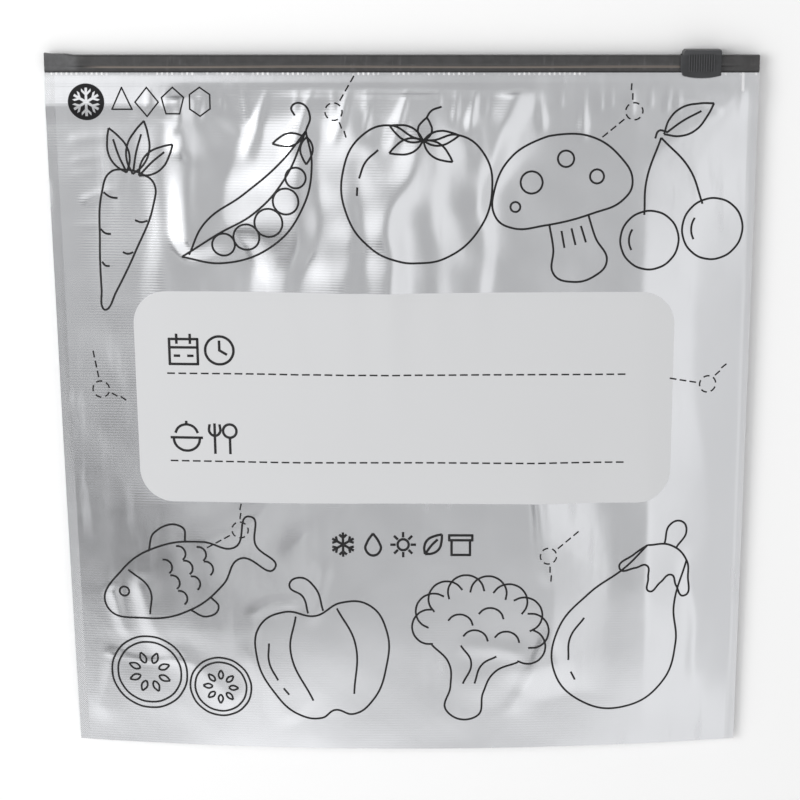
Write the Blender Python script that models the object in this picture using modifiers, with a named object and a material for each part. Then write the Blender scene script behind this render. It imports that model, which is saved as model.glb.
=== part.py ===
"""Foil freezer bag with a slider zip, shut, lying on its back with the printed panel up.

+X runs along the zip, +Y points from the bag's bottom to the zip, and +Z points up, out of the
printed panel. The origin is below the middle of the bag, on the surface that it lies on.
"""
import math

import bmesh
import bpy
import numpy as np

MM = 0.001

# The bag
BAG_WIDTH = 270 * MM
BAG_HEIGHT = 280 * MM            # top of the zip to the lowest point of the bottom edge
BOTTOM_BOW = 3.2 * MM            # how far the middle of the bottom edge hangs below its corners
LEFT_DRAW = 4.5 * MM             # how far the lower left corner is drawn in
SEAL_WIDTH = 3.0 * MM
SEAL_THICK = 1.2 * MM
RIM_CORNER = 1.7 * MM            # middle of the film's edge above the table, at a lower corner
RIM_BOTTOM = 5.2 * MM            # the same, at the middle of the bottom edge
RIM_LEFT = 3.4 * MM              # extra lift of the side seals, halfway up
RIM_RIGHT = 0.6 * MM

# The air in it
PUFF = 5.4 * MM                  # how far air lifts the printed panel's flat middle
RUN_LEFT = 92 * MM               # distance over which the panel climbs from each edge
RUN_TOP = 84 * MM
RUN_BOTTOM = 50 * MM
RUN_BOTTOM_MIDDLE = 95 * MM      # the same, below the panel's middle, where it climbs slower
RUN_MIDDLE_X = 34 * MM           # where that middle is, and how wide
RUN_MIDDLE_WIDTH = 58 * MM
BREAK_X = 93 * MM                # where the panel breaks down towards the right seal
BREAK_TOP_X = 126 * MM           # and where that break meets the zip
SHELF = 1.8 * MM                 # a raised shelf under the drapes, with a U-shaped edge at its left
STRIP = 0.45 * MM                # a low step along the left of the panel's upper half
BACK_RUN = 34 * MM               # distance over which the back comes down onto the table

# The zip
ZIP_HEIGHT = 6.2 * MM
ZIP_THICK = 3.2 * MM
ZIP_MIDDLE = 3.3 * MM            # the zip's middle plane above the table
END_STOP_LENGTH = 9.8 * MM
END_STOP_THICK = 2.6 * MM
END_STOP_SPREAD = 0.06 * MM      # crushing spread both stops a little, up and down
END_STOP_RAISE = 0.4 * MM        # and pushed the left one upwards
STOP_OVERLAP = 1.1 * MM
MOUTH_WIDTH = 0.5 * MM           # the line between the two rails, along the top
MOUTH_DEPTH = 1.6 * MM
FLANGE_THICK = 0.6 * MM          # the zip's flange, welded between the two films
FLANGE_DEPTH = 6.0 * MM
LIP_THICK = 3.0 * MM             # the films over the flange
GAP = 0.3 * MM                   # clearance between neighbouring pieces

# The slider
SLIDER_WIDTH = 14.4 * MM
SLIDER_TALL = 10.4 * MM
SLIDER_THICK = 6.6 * MM
SLIDER_X = 113.2 * MM
SLIDER_ABOVE = 2.0 * MM          # how far it stands above the zip
SLIDER_LIP = 1.0 * MM            # the thin lip on its left end
SLIDER_BOW = 0.9 * MM            # how far its lower edge bulges down
GRIP_COUNT = 10
GRIP_PITCH = 0.95 * MM
GRIP_GROOVE = 0.42 * MM
GRIP_DEPTH = 0.35 * MM
GRIP_TOP_BAND = 1.6 * MM         # the plain band above the grip
GRIP_BOTTOM_BAND = 1.5 * MM

# How finely the pouch is divided
COLUMNS = 64
ROWS = 62

HALF_WIDTH = BAG_WIDTH / 2
TOTAL_HEIGHT = BAG_HEIGHT + SLIDER_ABOVE
ZIP_TOP = TOTAL_HEIGHT / 2 - SLIDER_ABOVE
ZIP_BOTTOM = ZIP_TOP - ZIP_HEIGHT
POUCH_TOP = ZIP_BOTTOM - GAP
LIP_FOOT = POUCH_TOP - FLANGE_DEPTH
BOTTOM_MIDDLE = -TOTAL_HEIGHT / 2
BOTTOM_CORNER = BOTTOM_MIDDLE + BOTTOM_BOW

# The drapes that hang from the zip, from left to right. In millimetres: the line along which the
# film breaks, as (y, x) from the zip down, its height there at each drape level, and its softness.
DRAPES = [
    ([(126, -80), (104, -82), (74, -80), (40, -72)], (0.0, 0.0, 0.0, 0.0, 0.0), 3.0),
    ([(126, -57), (114, -62.5), (104, -66), (74, -68), (63, -56), (40, -58)],
     (0.0, -0.4, -1.2, -0.8, 0.0), 1.2),
    ([(126, -32), (114, -36), (100, -40.5), (78, -43), (54, -42.5)], (0.0, 1.0, 2.3, 2.4, 1.3), 1.8),
    ([(126, -28), (114, -29.5), (100, -31.5), (78, -34.5), (54, -38.7)], (0.0, 0.8, 1.5, 1.5, 0.9), 1.6),
    ([(126, -19), (100, -19.5), (78, -19.5), (54, -21.5)], (0.0, 1.4, 2.9, 3.6, 3.5), 2.2),
    ([(126, -5), (114, -8.5), (100, -16), (78, -16), (54, -14)], (0.0, 1.4, 2.9, 3.0, 3.0), 1.8),
    ([(126, 2), (114, 3), (100, 3), (89, 1), (78, -7), (66, -3), (54, -5)],
     (0.0, 2.0, 5.0, 4.8, 4.5), 2.0),
    ([(126, 6), (106, 10), (89, 6.5), (78, 3.5), (54, 3)], (0.0, 1.6, 4.0, 3.2, 2.6), 2.2),
    ([(126, 54), (106, 55), (100, 50), (89, 36), (54, 32)], (0.0, 0.0, 0.0, 0.8, 0.7), 4.0),
    ([(126, 92), (93, 90), (40, 90)], (0.0, 0.0, 0.0, 0.0, 0.0), 8.0),
]
DRAPE_LEVELS = (128, 116, 98, 76, 50)
DRAPE_FADE = (-24, 56)           # the drapes are gone at the first height and full at the second

# Single folds, in millimetres: where the crest starts and ends, then at those two ends the width
# of the flank on its left and on its right as seen along it, and its height; last, the distances
# over which the two ends fade out.
FOLDS = {
    "right_tent": ((31, 90), (44, 126), (14, 6), (4, 9), (0.7, 1.1), (22, 2.5)),
    "dark_side": ((-93, -80), (-95, -38), (22, 20), (40, 40), (0.7, 0.7), (20, 16)),
    "corner_streak": ((-83, 117), (-66, 110), (5, 5), (4, 4), (0.4, 0.35), (4, 8)),
    "lower_right_break": ((62.5, -101), (54.5, -30), (42, 42), (20, 22), (1.6, 1.6), (16, 44)),
    "gap_rise": ((96, -66), (96, -32), (14, 14), (30, 30), (0.4, 0.4), (18, 30)),
    "limb_top": ((-84.5, 104), (-84.5, 122), (6, 6), (10, 8), (0.9, 1.1), (8, 3)),
    "right_crease": ((119, -106), (115.5, -66), (4.5, 4.5), (9, 9), (0.45, 0.4), (14, 14)),
    "chevron": ((-113.5, -86), (-117.5, -72), (4.5, 4), (3, 3), (0.15, 0.4), (7, 4)),
    "dimple_streak": ((-97, -97), (-107, -70), (6, 4), (10, 9), (0.3, 0.4), (14, 8)),
    "left_streak": ((-80, -51), (-60, -38), (6, 6), (9, 9), (0.4, 0.45), (14, 14)),
    "middle_streak": ((-40, -49), (-25, -36), (5, 5), (8, 8), (0.35, 0.4), (12, 12)),
    "lower_facet": ((-72, -116), (-90, -99), (9, 6), (7, 7), (0.2, 0.15), (4, 8)),
    "lower_facet_two": ((-47, -121), (-62, -101), (9, 8), (9, 9), (0.2, 0.15), (6, 10)),
    "lower_streak": ((44, -116), (57, -94), (4, 3), (7, 7), (0.5, 0.45), (10, 8)),
}


def clear_scene():
    """Remove every object of the open scene."""
    for item in list(bpy.data.objects):
        bpy.data.objects.remove(item, do_unlink=True)


def new_collection(name):
    """Make a collection under the scene's own and return it."""
    made = bpy.data.collections.new(name)
    bpy.context.scene.collection.children.link(made)
    return made


def make_material(name, colour, roughness, metallic):
    """Make a Principled material of one colour."""
    material = bpy.data.materials.new(name)
    material.use_nodes = True
    shader = material.node_tree.nodes["Principled BSDF"]
    shader.inputs["Base Color"].default_value = (*colour, 1.0)
    shader.inputs["Roughness"].default_value = roughness
    shader.inputs["Metallic"].default_value = metallic
    return material


def add_object(name, mesh, collection, material=None):
    """Put a mesh in the scene as an object."""
    made = bpy.data.objects.new(name, mesh)
    collection.objects.link(made)
    if material is not None:
        mesh.materials.append(material)
    return made


def add_block(name, low, high, collection, material=None):
    """Add a box between two corners."""
    mesh = bpy.data.meshes.new(name)
    shape = bmesh.new()
    bmesh.ops.create_cube(shape, size=1.0)
    for vertex in shape.verts:
        for axis in range(3):
            middle = (low[axis] + high[axis]) / 2
            vertex.co[axis] = middle + vertex.co[axis] * (high[axis] - low[axis])
    shape.to_mesh(mesh)
    shape.free()
    return add_object(name, mesh, collection, material)


def hide_cutter(cutter):
    """Mark an object as a cutter."""
    cutter.hide_render = True
    cutter.display_type = "WIRE"


def add_boolean(target, operation, other):
    """Join another object or a collection to the target, or cut it away."""
    modifier = target.modifiers.new(operation.lower(), "BOOLEAN")
    modifier.operation = operation
    if isinstance(other, bpy.types.Collection):
        modifier.operand_type = "COLLECTION"
        modifier.collection = other
    else:
        modifier.object = other
    return modifier


def outline_mesh(name, points, thickness):
    """Turn a closed outline, given by its corners, into a solid of even thickness about Z = 0."""
    curve = bpy.data.curves.new(name, "CURVE")
    curve.dimensions = "2D"
    curve.fill_mode = "BOTH"
    curve.extrude = thickness / 2
    spline = curve.splines.new("POLY")
    spline.points.add(len(points) - 1)
    for point, corner in zip(spline.points, points):
        point.co = (corner[0], corner[1], 0.0, 1.0)
    spline.use_cyclic_u = True
    guide = bpy.data.objects.new(name + "_outline", curve)
    bpy.context.scene.collection.objects.link(guide)
    graph = bpy.context.evaluated_depsgraph_get()
    mesh = bpy.data.meshes.new_from_object(guide.evaluated_get(graph))
    bpy.data.objects.remove(guide, do_unlink=True)
    shape = bmesh.new()
    shape.from_mesh(mesh)
    bmesh.ops.remove_doubles(shape, verts=shape.verts, dist=0.01 * MM)
    bmesh.ops.dissolve_limit(
        shape, angle_limit=math.radians(0.1), verts=shape.verts, edges=shape.edges
    )
    bmesh.ops.recalc_face_normals(shape, faces=shape.faces)
    shape.to_mesh(mesh)
    shape.free()
    mesh.name = name
    return mesh


# The film's form

def ease(value):
    """Go from 0 to 1 with a level start and end."""
    held = np.clip(value, 0.0, 1.0)
    return held * held * (3.0 - 2.0 * held)


def climb(distance, run, power=2.0):
    """Go from 0 at an edge to 1 a run away from it, steepest at the edge."""
    held = np.clip(distance / run, 0.0, 1.0)
    return 1.0 - (1.0 - held) ** power


def ramp(value, radius):
    """0 below zero and the value itself above, with a bend of that radius between."""
    return 0.5 * (value + np.sqrt(value * value + radius * radius))


def rim_middle(x, y):
    """Height of the film's edge plane above the table."""
    along = x / HALF_WIDTH
    up = np.clip((y - BOTTOM_CORNER) / (LIP_FOOT - BOTTOM_CORNER), 0.0, 1.0)
    bottom = RIM_CORNER + (RIM_BOTTOM - RIM_CORNER) * (1.0 - along ** 2)
    lift = (RIM_LEFT + RIM_RIGHT) / 2 - (RIM_LEFT - RIM_RIGHT) / 2 * along
    side = lift * 4.0 * up * (1.0 - up) * along ** 2
    return bottom * (1.0 - up) + ZIP_MIDDLE * up + side


def edge_half(x, y):
    """Half the thickness at the film's edge: thin seals, and a thick lip over the flange."""
    lip = ease((y - LIP_FOOT + 14 * MM) / (14 * MM))
    return SEAL_THICK / 2 + (LIP_THICK - SEAL_THICK) / 2 * lip


def right_break(y):
    """Where the panel breaks towards the right seal: straight, then out towards the zip's end."""
    out = ease((y - 92 * MM) / (34 * MM)) ** 1.3
    return BREAK_X + 4 * MM * ease((40 * MM - y) / (80 * MM)) + (BREAK_TOP_X - BREAK_X) * out


def puff(x, y):
    """How far air pushes the printed panel up, from 0 at the edges to 1 on the flat middle."""
    edge = HALF_WIDTH - SEAL_WIDTH
    left = climb(x + edge, RUN_LEFT, 1.1)
    flank = np.clip((edge - x) / (edge - right_break(y)), 0.0, 3.0)
    low = ease((20 * MM - y) / (60 * MM))
    bend = 0.5 - 0.2 * low
    foot = 0.65 - 0.23 * low
    flat = (1.0 - foot) / (1.0 - bend)
    right = foot / bend * flank - (foot / bend - flat) * ramp(flank - bend, 0.05)
    right = np.clip(right - flat * ramp(flank - 1.0, 0.03), 0.0, 1.0)
    top = climb(LIP_FOOT - y, RUN_TOP, 1.25)
    middle = np.exp(-(((x - RUN_MIDDLE_X) / RUN_MIDDLE_WIDTH) ** 2))
    run = RUN_BOTTOM + (RUN_BOTTOM_MIDDLE - RUN_BOTTOM) * middle
    bottom = climb(y - BOTTOM_CORNER, run, 1.2 + 0.3 * (1.0 - middle))
    return left * right * top * bottom


def shelf(x, y):
    """The raised shelf under the drapes, from 0 to 1; x and y in millimetres."""
    left = ease((x + 92.5 - 0.05 * (y - 90.0)) / 12.0)
    turn = np.clip(x + 74.0, 0.0, 60.0)
    rise = y - 61.0 - 0.018 * np.minimum(x + 74.0, 0.0) ** 2 + 0.5 * turn
    foot = ease(rise / (8.0 + 0.9 * turn))
    right = np.clip((60.0 - x) / 126.0, 0.0, 1.0)
    top = ease((124.0 - y) / 26.0)
    return left * foot * right * top


def strip(x, y):
    """The low step along the left of the panel, from 0 to 1; x and y in millimetres."""
    across = ease((x + 102.0) / 9.0) * ease((-60.0 - x) / 30.0)
    return across * ease((y + 20.0) / 60.0) * ease((118.0 - y) / 14.0)


def bent(y, rows, values):
    """From value to value down the bag, with each bend rounded over 12 mm."""
    steps = (-6.0, -3.0, 0.0, 3.0, 6.0)
    return sum(np.interp(y + step, rows[::-1], values[::-1]) for step in steps) / len(steps)


def drapes(x, y):
    """The drapes, straight from one break line to the next; x and y in millimetres."""
    places = []
    heights = []
    for line, tall, _ in DRAPES:
        places.append(bent(y, [spot[0] for spot in line], [spot[1] for spot in line]))
        heights.append(bent(y, DRAPE_LEVELS, tall))
    form = np.zeros_like(x)
    before = 0.0
    for index, (_, _, soft) in enumerate(DRAPES):
        after = 0.0
        if index + 1 < len(DRAPES):
            after = (heights[index + 1] - heights[index]) / (places[index + 1] - places[index])
        form = form + (after - before) * ramp(x - places[index], soft)
        before = after
    low, high = DRAPE_FADE
    return form * ease((y - low) / (high - low))


def lip_slope(x, y):
    """How the lip falls to the zip, and rolls up from it at the left; all in millimetres."""
    lip = 0.2 * np.clip(131.7 - y, 0.0, 2.9)
    level = 0.15 * np.clip(128.8 - y, 0.0, 2.6) * ease((-78.0 - x) / 16.0)
    roll = 0.2 * np.clip(126.2 - y, 0.0, 6.0)
    roll = roll * ease((-78.0 - x) / 14.0)
    return lip + (level + roll) * ease((y - 30.0) / 90.0)


def fold_height(x, y, start, end, left, right, height, fades):
    """Height that one fold adds: two flat flanks along a crest, fading out at its ends."""
    length = math.hypot(end[0] - start[0], end[1] - start[1])
    along_x = (end[0] - start[0]) / length
    along_y = (end[1] - start[1]) / length
    run = (x - start[0]) * along_x + (y - start[1]) * along_y
    side = (x - start[0]) * along_y - (y - start[1]) * along_x
    way = np.clip(run / length, 0.0, 1.0)
    wide_left = left[0] + (left[1] - left[0]) * way
    wide_right = right[0] + (right[1] - right[0]) * way
    tall = height[0] + (height[1] - height[0]) * way
    rise = ramp(side + wide_left, 2.0) - ramp(side, 1.0)
    fall = ramp(side, 1.0) - ramp(side - wide_right, 2.0)
    form = tall / wide_left * rise - tall / wide_right * fall
    return form * ease((run + fades[0]) / fades[0]) * ease((length + fades[1] - run) / fades[1])


def front_height(x, y):
    """Height of the printed panel above the table."""
    flat_x = x / MM
    flat_y = y / MM
    folds = SHELF / MM * shelf(flat_x, flat_y) + STRIP / MM * strip(flat_x, flat_y)
    folds = folds + drapes(flat_x, flat_y)
    for fold in FOLDS.values():
        folds = folds + fold_height(flat_x, flat_y, *fold)
    loose = climb(HALF_WIDTH - np.abs(x) - SEAL_WIDTH, 12 * MM) * ease((LIP_FOOT - y) / (5 * MM))
    loose = loose * climb(y - BOTTOM_CORNER, 14 * MM)
    held = rim_middle(x, y) + edge_half(x, y) + PUFF * puff(x, y)
    return held + (folds * loose + lip_slope(flat_x, flat_y)) * MM


def back_height(x, y):
    """Height of the back panel, which lies flat on the table but for its edges."""
    side = climb(HALF_WIDTH - SEAL_WIDTH - np.abs(x), BACK_RUN)
    top = climb(LIP_FOOT - y, BACK_RUN)
    bottom = climb(y - BOTTOM_CORNER, BACK_RUN)
    down = np.minimum(np.minimum(side, top), bottom)
    return (rim_middle(x, y) - edge_half(x, y)) * (1.0 - down)


def column_places():
    """Where the pouch's columns run: one narrow column for each side seal, the rest even."""
    inner = np.linspace(-HALF_WIDTH + SEAL_WIDTH, HALF_WIDTH - SEAL_WIDTH, COLUMNS - 1)
    return np.concatenate(([-HALF_WIDTH], inner, [HALF_WIDTH]))


def row_places():
    """Where its rows run, on the corner's height: even up to the lip, which is one row."""
    inner = np.linspace(BOTTOM_CORNER, LIP_FOOT, ROWS)
    return np.append(inner, POUCH_TOP)


def place_on_film(column, row, columns, rows):
    """The point of the bag's outline grid at one column and row."""
    x = columns[column]
    y = rows[row]
    down = 1.0 - (y - BOTTOM_CORNER) / (POUCH_TOP - BOTTOM_CORNER)
    bow = BOTTOM_BOW * (1.0 - (x / HALF_WIDTH) ** 2) * down ** 3
    draw = LEFT_DRAW * down * (0.5 - x / BAG_WIDTH)
    return x + draw, y - bow, x, y


def build_pouch(parts, cutters, material):
    """The shut bag: a grid for the printed panel, thickened to the back, and its slot."""
    columns = column_places()
    rows = row_places()
    shape = bmesh.new()
    bmesh.ops.create_grid(shape, x_segments=COLUMNS, y_segments=ROWS, size=0.5)
    spots = {}
    for vertex in shape.verts:
        column = round((vertex.co.x + 0.5) * COLUMNS)
        row = round((vertex.co.y + 0.5) * ROWS)
        spots[(column, row)] = vertex
    back = bmesh.ops.extrude_face_region(shape, geom=list(shape.faces), use_keep_orig=True)
    for item in back["geom"]:
        if isinstance(item, bmesh.types.BMVert):
            column = round((item.co.x + 0.5) * COLUMNS)
            row = round((item.co.y + 0.5) * ROWS)
            place = place_on_film(column, row, columns, rows)
            item.co = (place[0], place[1], float(back_height(place[2], place[3])))
    for (column, row), vertex in spots.items():
        place = place_on_film(column, row, columns, rows)
        height = float(front_height(np.array(place[2]), np.array(place[3])))
        vertex.co = (place[0], place[1], height)
    bmesh.ops.recalc_face_normals(shape, faces=shape.faces)
    bmesh.ops.dissolve_limit(
        shape, angle_limit=math.radians(0.2), verts=shape.verts, edges=shape.edges
    )
    bmesh.ops.triangulate(shape, faces=shape.faces)
    mesh = bpy.data.meshes.new("pouch")
    shape.to_mesh(mesh)
    shape.free()
    pouch = add_object("pouch", mesh, parts, material)
    mesh.shade_smooth()
    mesh.set_sharp_from_angle(angle=math.radians(35))

    half_slot = FLANGE_THICK / 2 + GAP
    reach = HALF_WIDTH - END_STOP_LENGTH + STOP_OVERLAP + GAP
    slot = add_block(
        "flange_slot",
        (-reach, LIP_FOOT - GAP, ZIP_MIDDLE - half_slot),
        (reach, POUCH_TOP + 1 * MM, ZIP_MIDDLE + half_slot),
        cutters,
    )
    hide_cutter(slot)
    add_boolean(pouch, "DIFFERENCE", slot)
    return pouch


def zip_profile():
    """Half of the zip's section, from the mouth down to the flange, as (half thickness, drop)."""
    full = ZIP_THICK / 2
    return [
        (MOUTH_WIDTH / 2, MOUTH_DEPTH),
        (MOUTH_WIDTH / 2, 0.0),
        (full - 0.45 * MM, 0.0),
        (full, 0.45 * MM),
        (full, 3.3 * MM),
        (full - 0.35 * MM, 3.7 * MM),
        (full - 0.35 * MM, 4.0 * MM),
        (full - 0.1 * MM, 4.25 * MM),
        (full - 0.1 * MM, 5.3 * MM),
        (full - 0.4 * MM, 5.55 * MM),
        (full - 0.4 * MM, ZIP_HEIGHT),
        (FLANGE_THICK / 2, ZIP_HEIGHT),
        (FLANGE_THICK / 2, ZIP_HEIGHT + FLANGE_DEPTH),
    ]


def build_zip_track(parts, cutters, material):
    """Two rails joined at their crushed ends, with the flange that the films are welded to."""
    half = zip_profile()
    outline = [(offset, ZIP_TOP - drop) for offset, drop in half]
    outline += [(-offset, ZIP_TOP - drop) for offset, drop in reversed(half)]
    rail_reach = HALF_WIDTH - END_STOP_LENGTH + STOP_OVERLAP
    mesh = outline_mesh("zip_track", outline, 2 * rail_reach)
    track = add_object("zip_track", mesh, parts, material)
    track.rotation_euler = (0.0, math.pi / 2, 0.0)
    track.location = (0.0, 0.0, ZIP_MIDDLE)
    half_stop = END_STOP_THICK / 2
    for name, side, up in (("left_stop", -1, END_STOP_RAISE), ("right_stop", 1, END_STOP_SPREAD)):
        inner = side * (HALF_WIDTH - END_STOP_LENGTH)
        outer = side * HALF_WIDTH
        stop = add_block(
            name,
            (min(inner, outer), ZIP_BOTTOM - END_STOP_SPREAD, ZIP_MIDDLE - half_stop),
            (max(inner, outer), ZIP_TOP + up, ZIP_MIDDLE + half_stop),
            cutters,
        )
        soften = stop.modifiers.new("soften", "BEVEL")
        soften.width = 0.35 * MM
        soften.segments = 2
        hide_cutter(stop)
        add_boolean(track, "UNION", stop)
    return track


def slider_outline():
    """The slider's front view: square shoulders, a bulging lower edge and a low lip at the left."""
    left = SLIDER_X - SLIDER_WIDTH / 2
    right = SLIDER_X + SLIDER_WIDTH / 2
    top = ZIP_TOP + SLIDER_ABOVE
    bottom = top - SLIDER_TALL + SLIDER_BOW
    corner = 0.5 * MM
    lip_top = top - 1.4 * MM
    points = [
        (right, top - corner),
        (right - corner, top),
        (left + corner, top),
        (left, top - corner),
        (left - SLIDER_LIP * 0.4, lip_top),
        (left - SLIDER_LIP, lip_top - 0.7 * MM),
        (left - SLIDER_LIP, bottom + 1.6 * MM),
        (left - SLIDER_LIP * 0.5, bottom + 0.9 * MM),
    ]
    steps = 12
    for step in range(steps + 1):
        along = step / steps
        x = left + SLIDER_WIDTH * along
        points.append((x, bottom - SLIDER_BOW * (1.0 - (2.0 * along - 1.0) ** 2)))
    return points


def build_slider(parts, cutters, material):
    """A saddle over the zip, with upright grip grooves on both faces."""
    mesh = outline_mesh("slider", slider_outline(), SLIDER_THICK)
    slider = add_object("slider", mesh, parts, material)
    slider.location = (0.0, 0.0, ZIP_MIDDLE)
    top = ZIP_TOP + SLIDER_ABOVE
    soften = slider.modifiers.new("soften", "BEVEL")
    soften.width = 0.3 * MM
    soften.segments = 2
    soften.limit_method = "ANGLE"
    soften.angle_limit = math.radians(40)

    half_channel = ZIP_THICK / 2 + GAP
    channel = add_block(
        "slider_channel",
        (SLIDER_X - SLIDER_WIDTH, ZIP_TOP - 2 * SLIDER_TALL, ZIP_MIDDLE - half_channel),
        (SLIDER_X + SLIDER_WIDTH, ZIP_TOP + GAP, ZIP_MIDDLE + half_channel),
        cutters,
    )
    hide_cutter(channel)
    add_boolean(slider, "DIFFERENCE", channel)

    grooves = new_collection("grip_grooves")
    low = top - SLIDER_TALL + SLIDER_BOW + GRIP_BOTTOM_BAND
    high = top - GRIP_TOP_BAND
    for face in (-1, 1):
        surface = ZIP_MIDDLE + face * SLIDER_THICK / 2
        for number in range(GRIP_COUNT):
            middle = SLIDER_X + (number - (GRIP_COUNT - 1) / 2) * GRIP_PITCH
            groove = add_block(
                f"grip_groove_{face}_{number}",
                (middle - GRIP_GROOVE / 2, low, surface - GRIP_DEPTH),
                (middle + GRIP_GROOVE / 2, high, surface + GRIP_DEPTH),
                grooves,
            )
            hide_cutter(groove)
    add_boolean(slider, "DIFFERENCE", grooves)
    return slider


def main():
    """Build the bag."""
    clear_scene()
    parts = new_collection("freezer_bag")
    cutters = new_collection("cutters")
    film = make_material("foil_film", (0.62, 0.63, 0.65), 0.32, 0.9)
    rail = make_material("zip_plastic", (0.07, 0.07, 0.075), 0.45, 0.0)
    slider = make_material("slider_plastic", (0.045, 0.046, 0.05), 0.5, 0.0)
    build_pouch(parts, cutters, film)
    build_zip_track(parts, cutters, rail)
    build_slider(parts, cutters, slider)


main()
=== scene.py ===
"""Looks of the foil freezer bag: creased silver film, printed panel, slider zip and studio."""
import math
import random

import bpy
import numpy as np
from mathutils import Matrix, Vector


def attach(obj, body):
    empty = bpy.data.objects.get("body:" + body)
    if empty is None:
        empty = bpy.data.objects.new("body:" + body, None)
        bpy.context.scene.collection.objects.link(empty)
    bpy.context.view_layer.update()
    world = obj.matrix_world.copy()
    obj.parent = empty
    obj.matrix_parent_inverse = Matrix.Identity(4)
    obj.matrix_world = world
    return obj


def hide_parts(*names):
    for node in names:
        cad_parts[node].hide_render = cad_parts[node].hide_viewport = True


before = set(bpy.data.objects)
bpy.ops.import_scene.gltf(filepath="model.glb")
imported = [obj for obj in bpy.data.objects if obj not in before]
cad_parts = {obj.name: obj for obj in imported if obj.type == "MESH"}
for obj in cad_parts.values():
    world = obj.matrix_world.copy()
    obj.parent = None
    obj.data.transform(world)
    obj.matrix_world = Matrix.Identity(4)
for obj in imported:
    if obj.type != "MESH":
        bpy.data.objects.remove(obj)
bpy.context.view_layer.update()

MM = 0.001

# The film's own measures, in millimetres, as in the part
HALF_WIDTH = 135.0
SLIDER_ABOVE = 2.0
TOTAL_HEIGHT = 282.0
ZIP_TOP = TOTAL_HEIGHT / 2 - SLIDER_ABOVE
ZIP_HEIGHT = 6.2
ZIP_MIDDLE = 3.3
GAP = 0.3
ZIP_BOTTOM = ZIP_TOP - ZIP_HEIGHT
POUCH_TOP = ZIP_BOTTOM - GAP
LIP_FOOT = POUCH_TOP - 6.0
BOTTOM_BOW = 3.2
BOTTOM_CORNER = BOTTOM_BOW - TOTAL_HEIGHT / 2
LEFT_DRAW = 4.5
SEAL_WIDTH = 3.0

# How finely the film is divided
CELL = 1.0
COLUMNS = int(2 * HALF_WIDTH / CELL)
ROWS = int((POUCH_TOP - BOTTOM_CORNER) / CELL)
BACK_STEP = 3                    # the back panel keeps every third line
PANEL_SPLIT = 0.01               # between the two panels while the film is still a flat square

# How high air, the shelf under the drapes and the strip beside it stand
PUFF_HEIGHT = 5.4
SHELF_HEIGHT = 1.8
STRIP_HEIGHT = 0.45


# The film's form, in millimetres

def ease(value):
    """Go from 0 to 1 with a level start and end."""
    held = np.clip(value, 0.0, 1.0)
    return held * held * (3.0 - 2.0 * held)


def climb(distance, run, power=1.4):
    """Go from 0 at an edge to 1 a run away from it, steepest at the edge."""
    held = np.clip(distance / run, 0.0, 1.0)
    return 1.0 - (1.0 - held) ** power


def ramp(value, radius):
    """0 below zero and the value itself above, with a bend of that radius between."""
    return 0.5 * (value + np.sqrt(value * value + radius * radius))


def facet(x, y, start, end, left, right, height, soft, fades):
    """A fold with two flat flanks along a crest: each pair of numbers holds at its start and end."""
    length = math.hypot(end[0] - start[0], end[1] - start[1])
    along_x = (end[0] - start[0]) / length
    along_y = (end[1] - start[1]) / length
    run = (x - start[0]) * along_x + (y - start[1]) * along_y
    side = (x - start[0]) * along_y - (y - start[1]) * along_x
    way = np.clip(run / length, 0.0, 1.0)
    wide_left = left[0] + (left[1] - left[0]) * way
    wide_right = right[0] + (right[1] - right[0]) * way
    tall = height[0] + (height[1] - height[0]) * way
    form = tall / wide_left * (ramp(side + wide_left, soft[0]) - ramp(side, soft[1]))
    form -= tall / wide_right * (ramp(side, soft[2]) - ramp(side - wide_right, soft[3]))
    return form * ease((run + fades[0]) / fades[0]) * ease((length + fades[1] - run) / fades[1])


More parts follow.
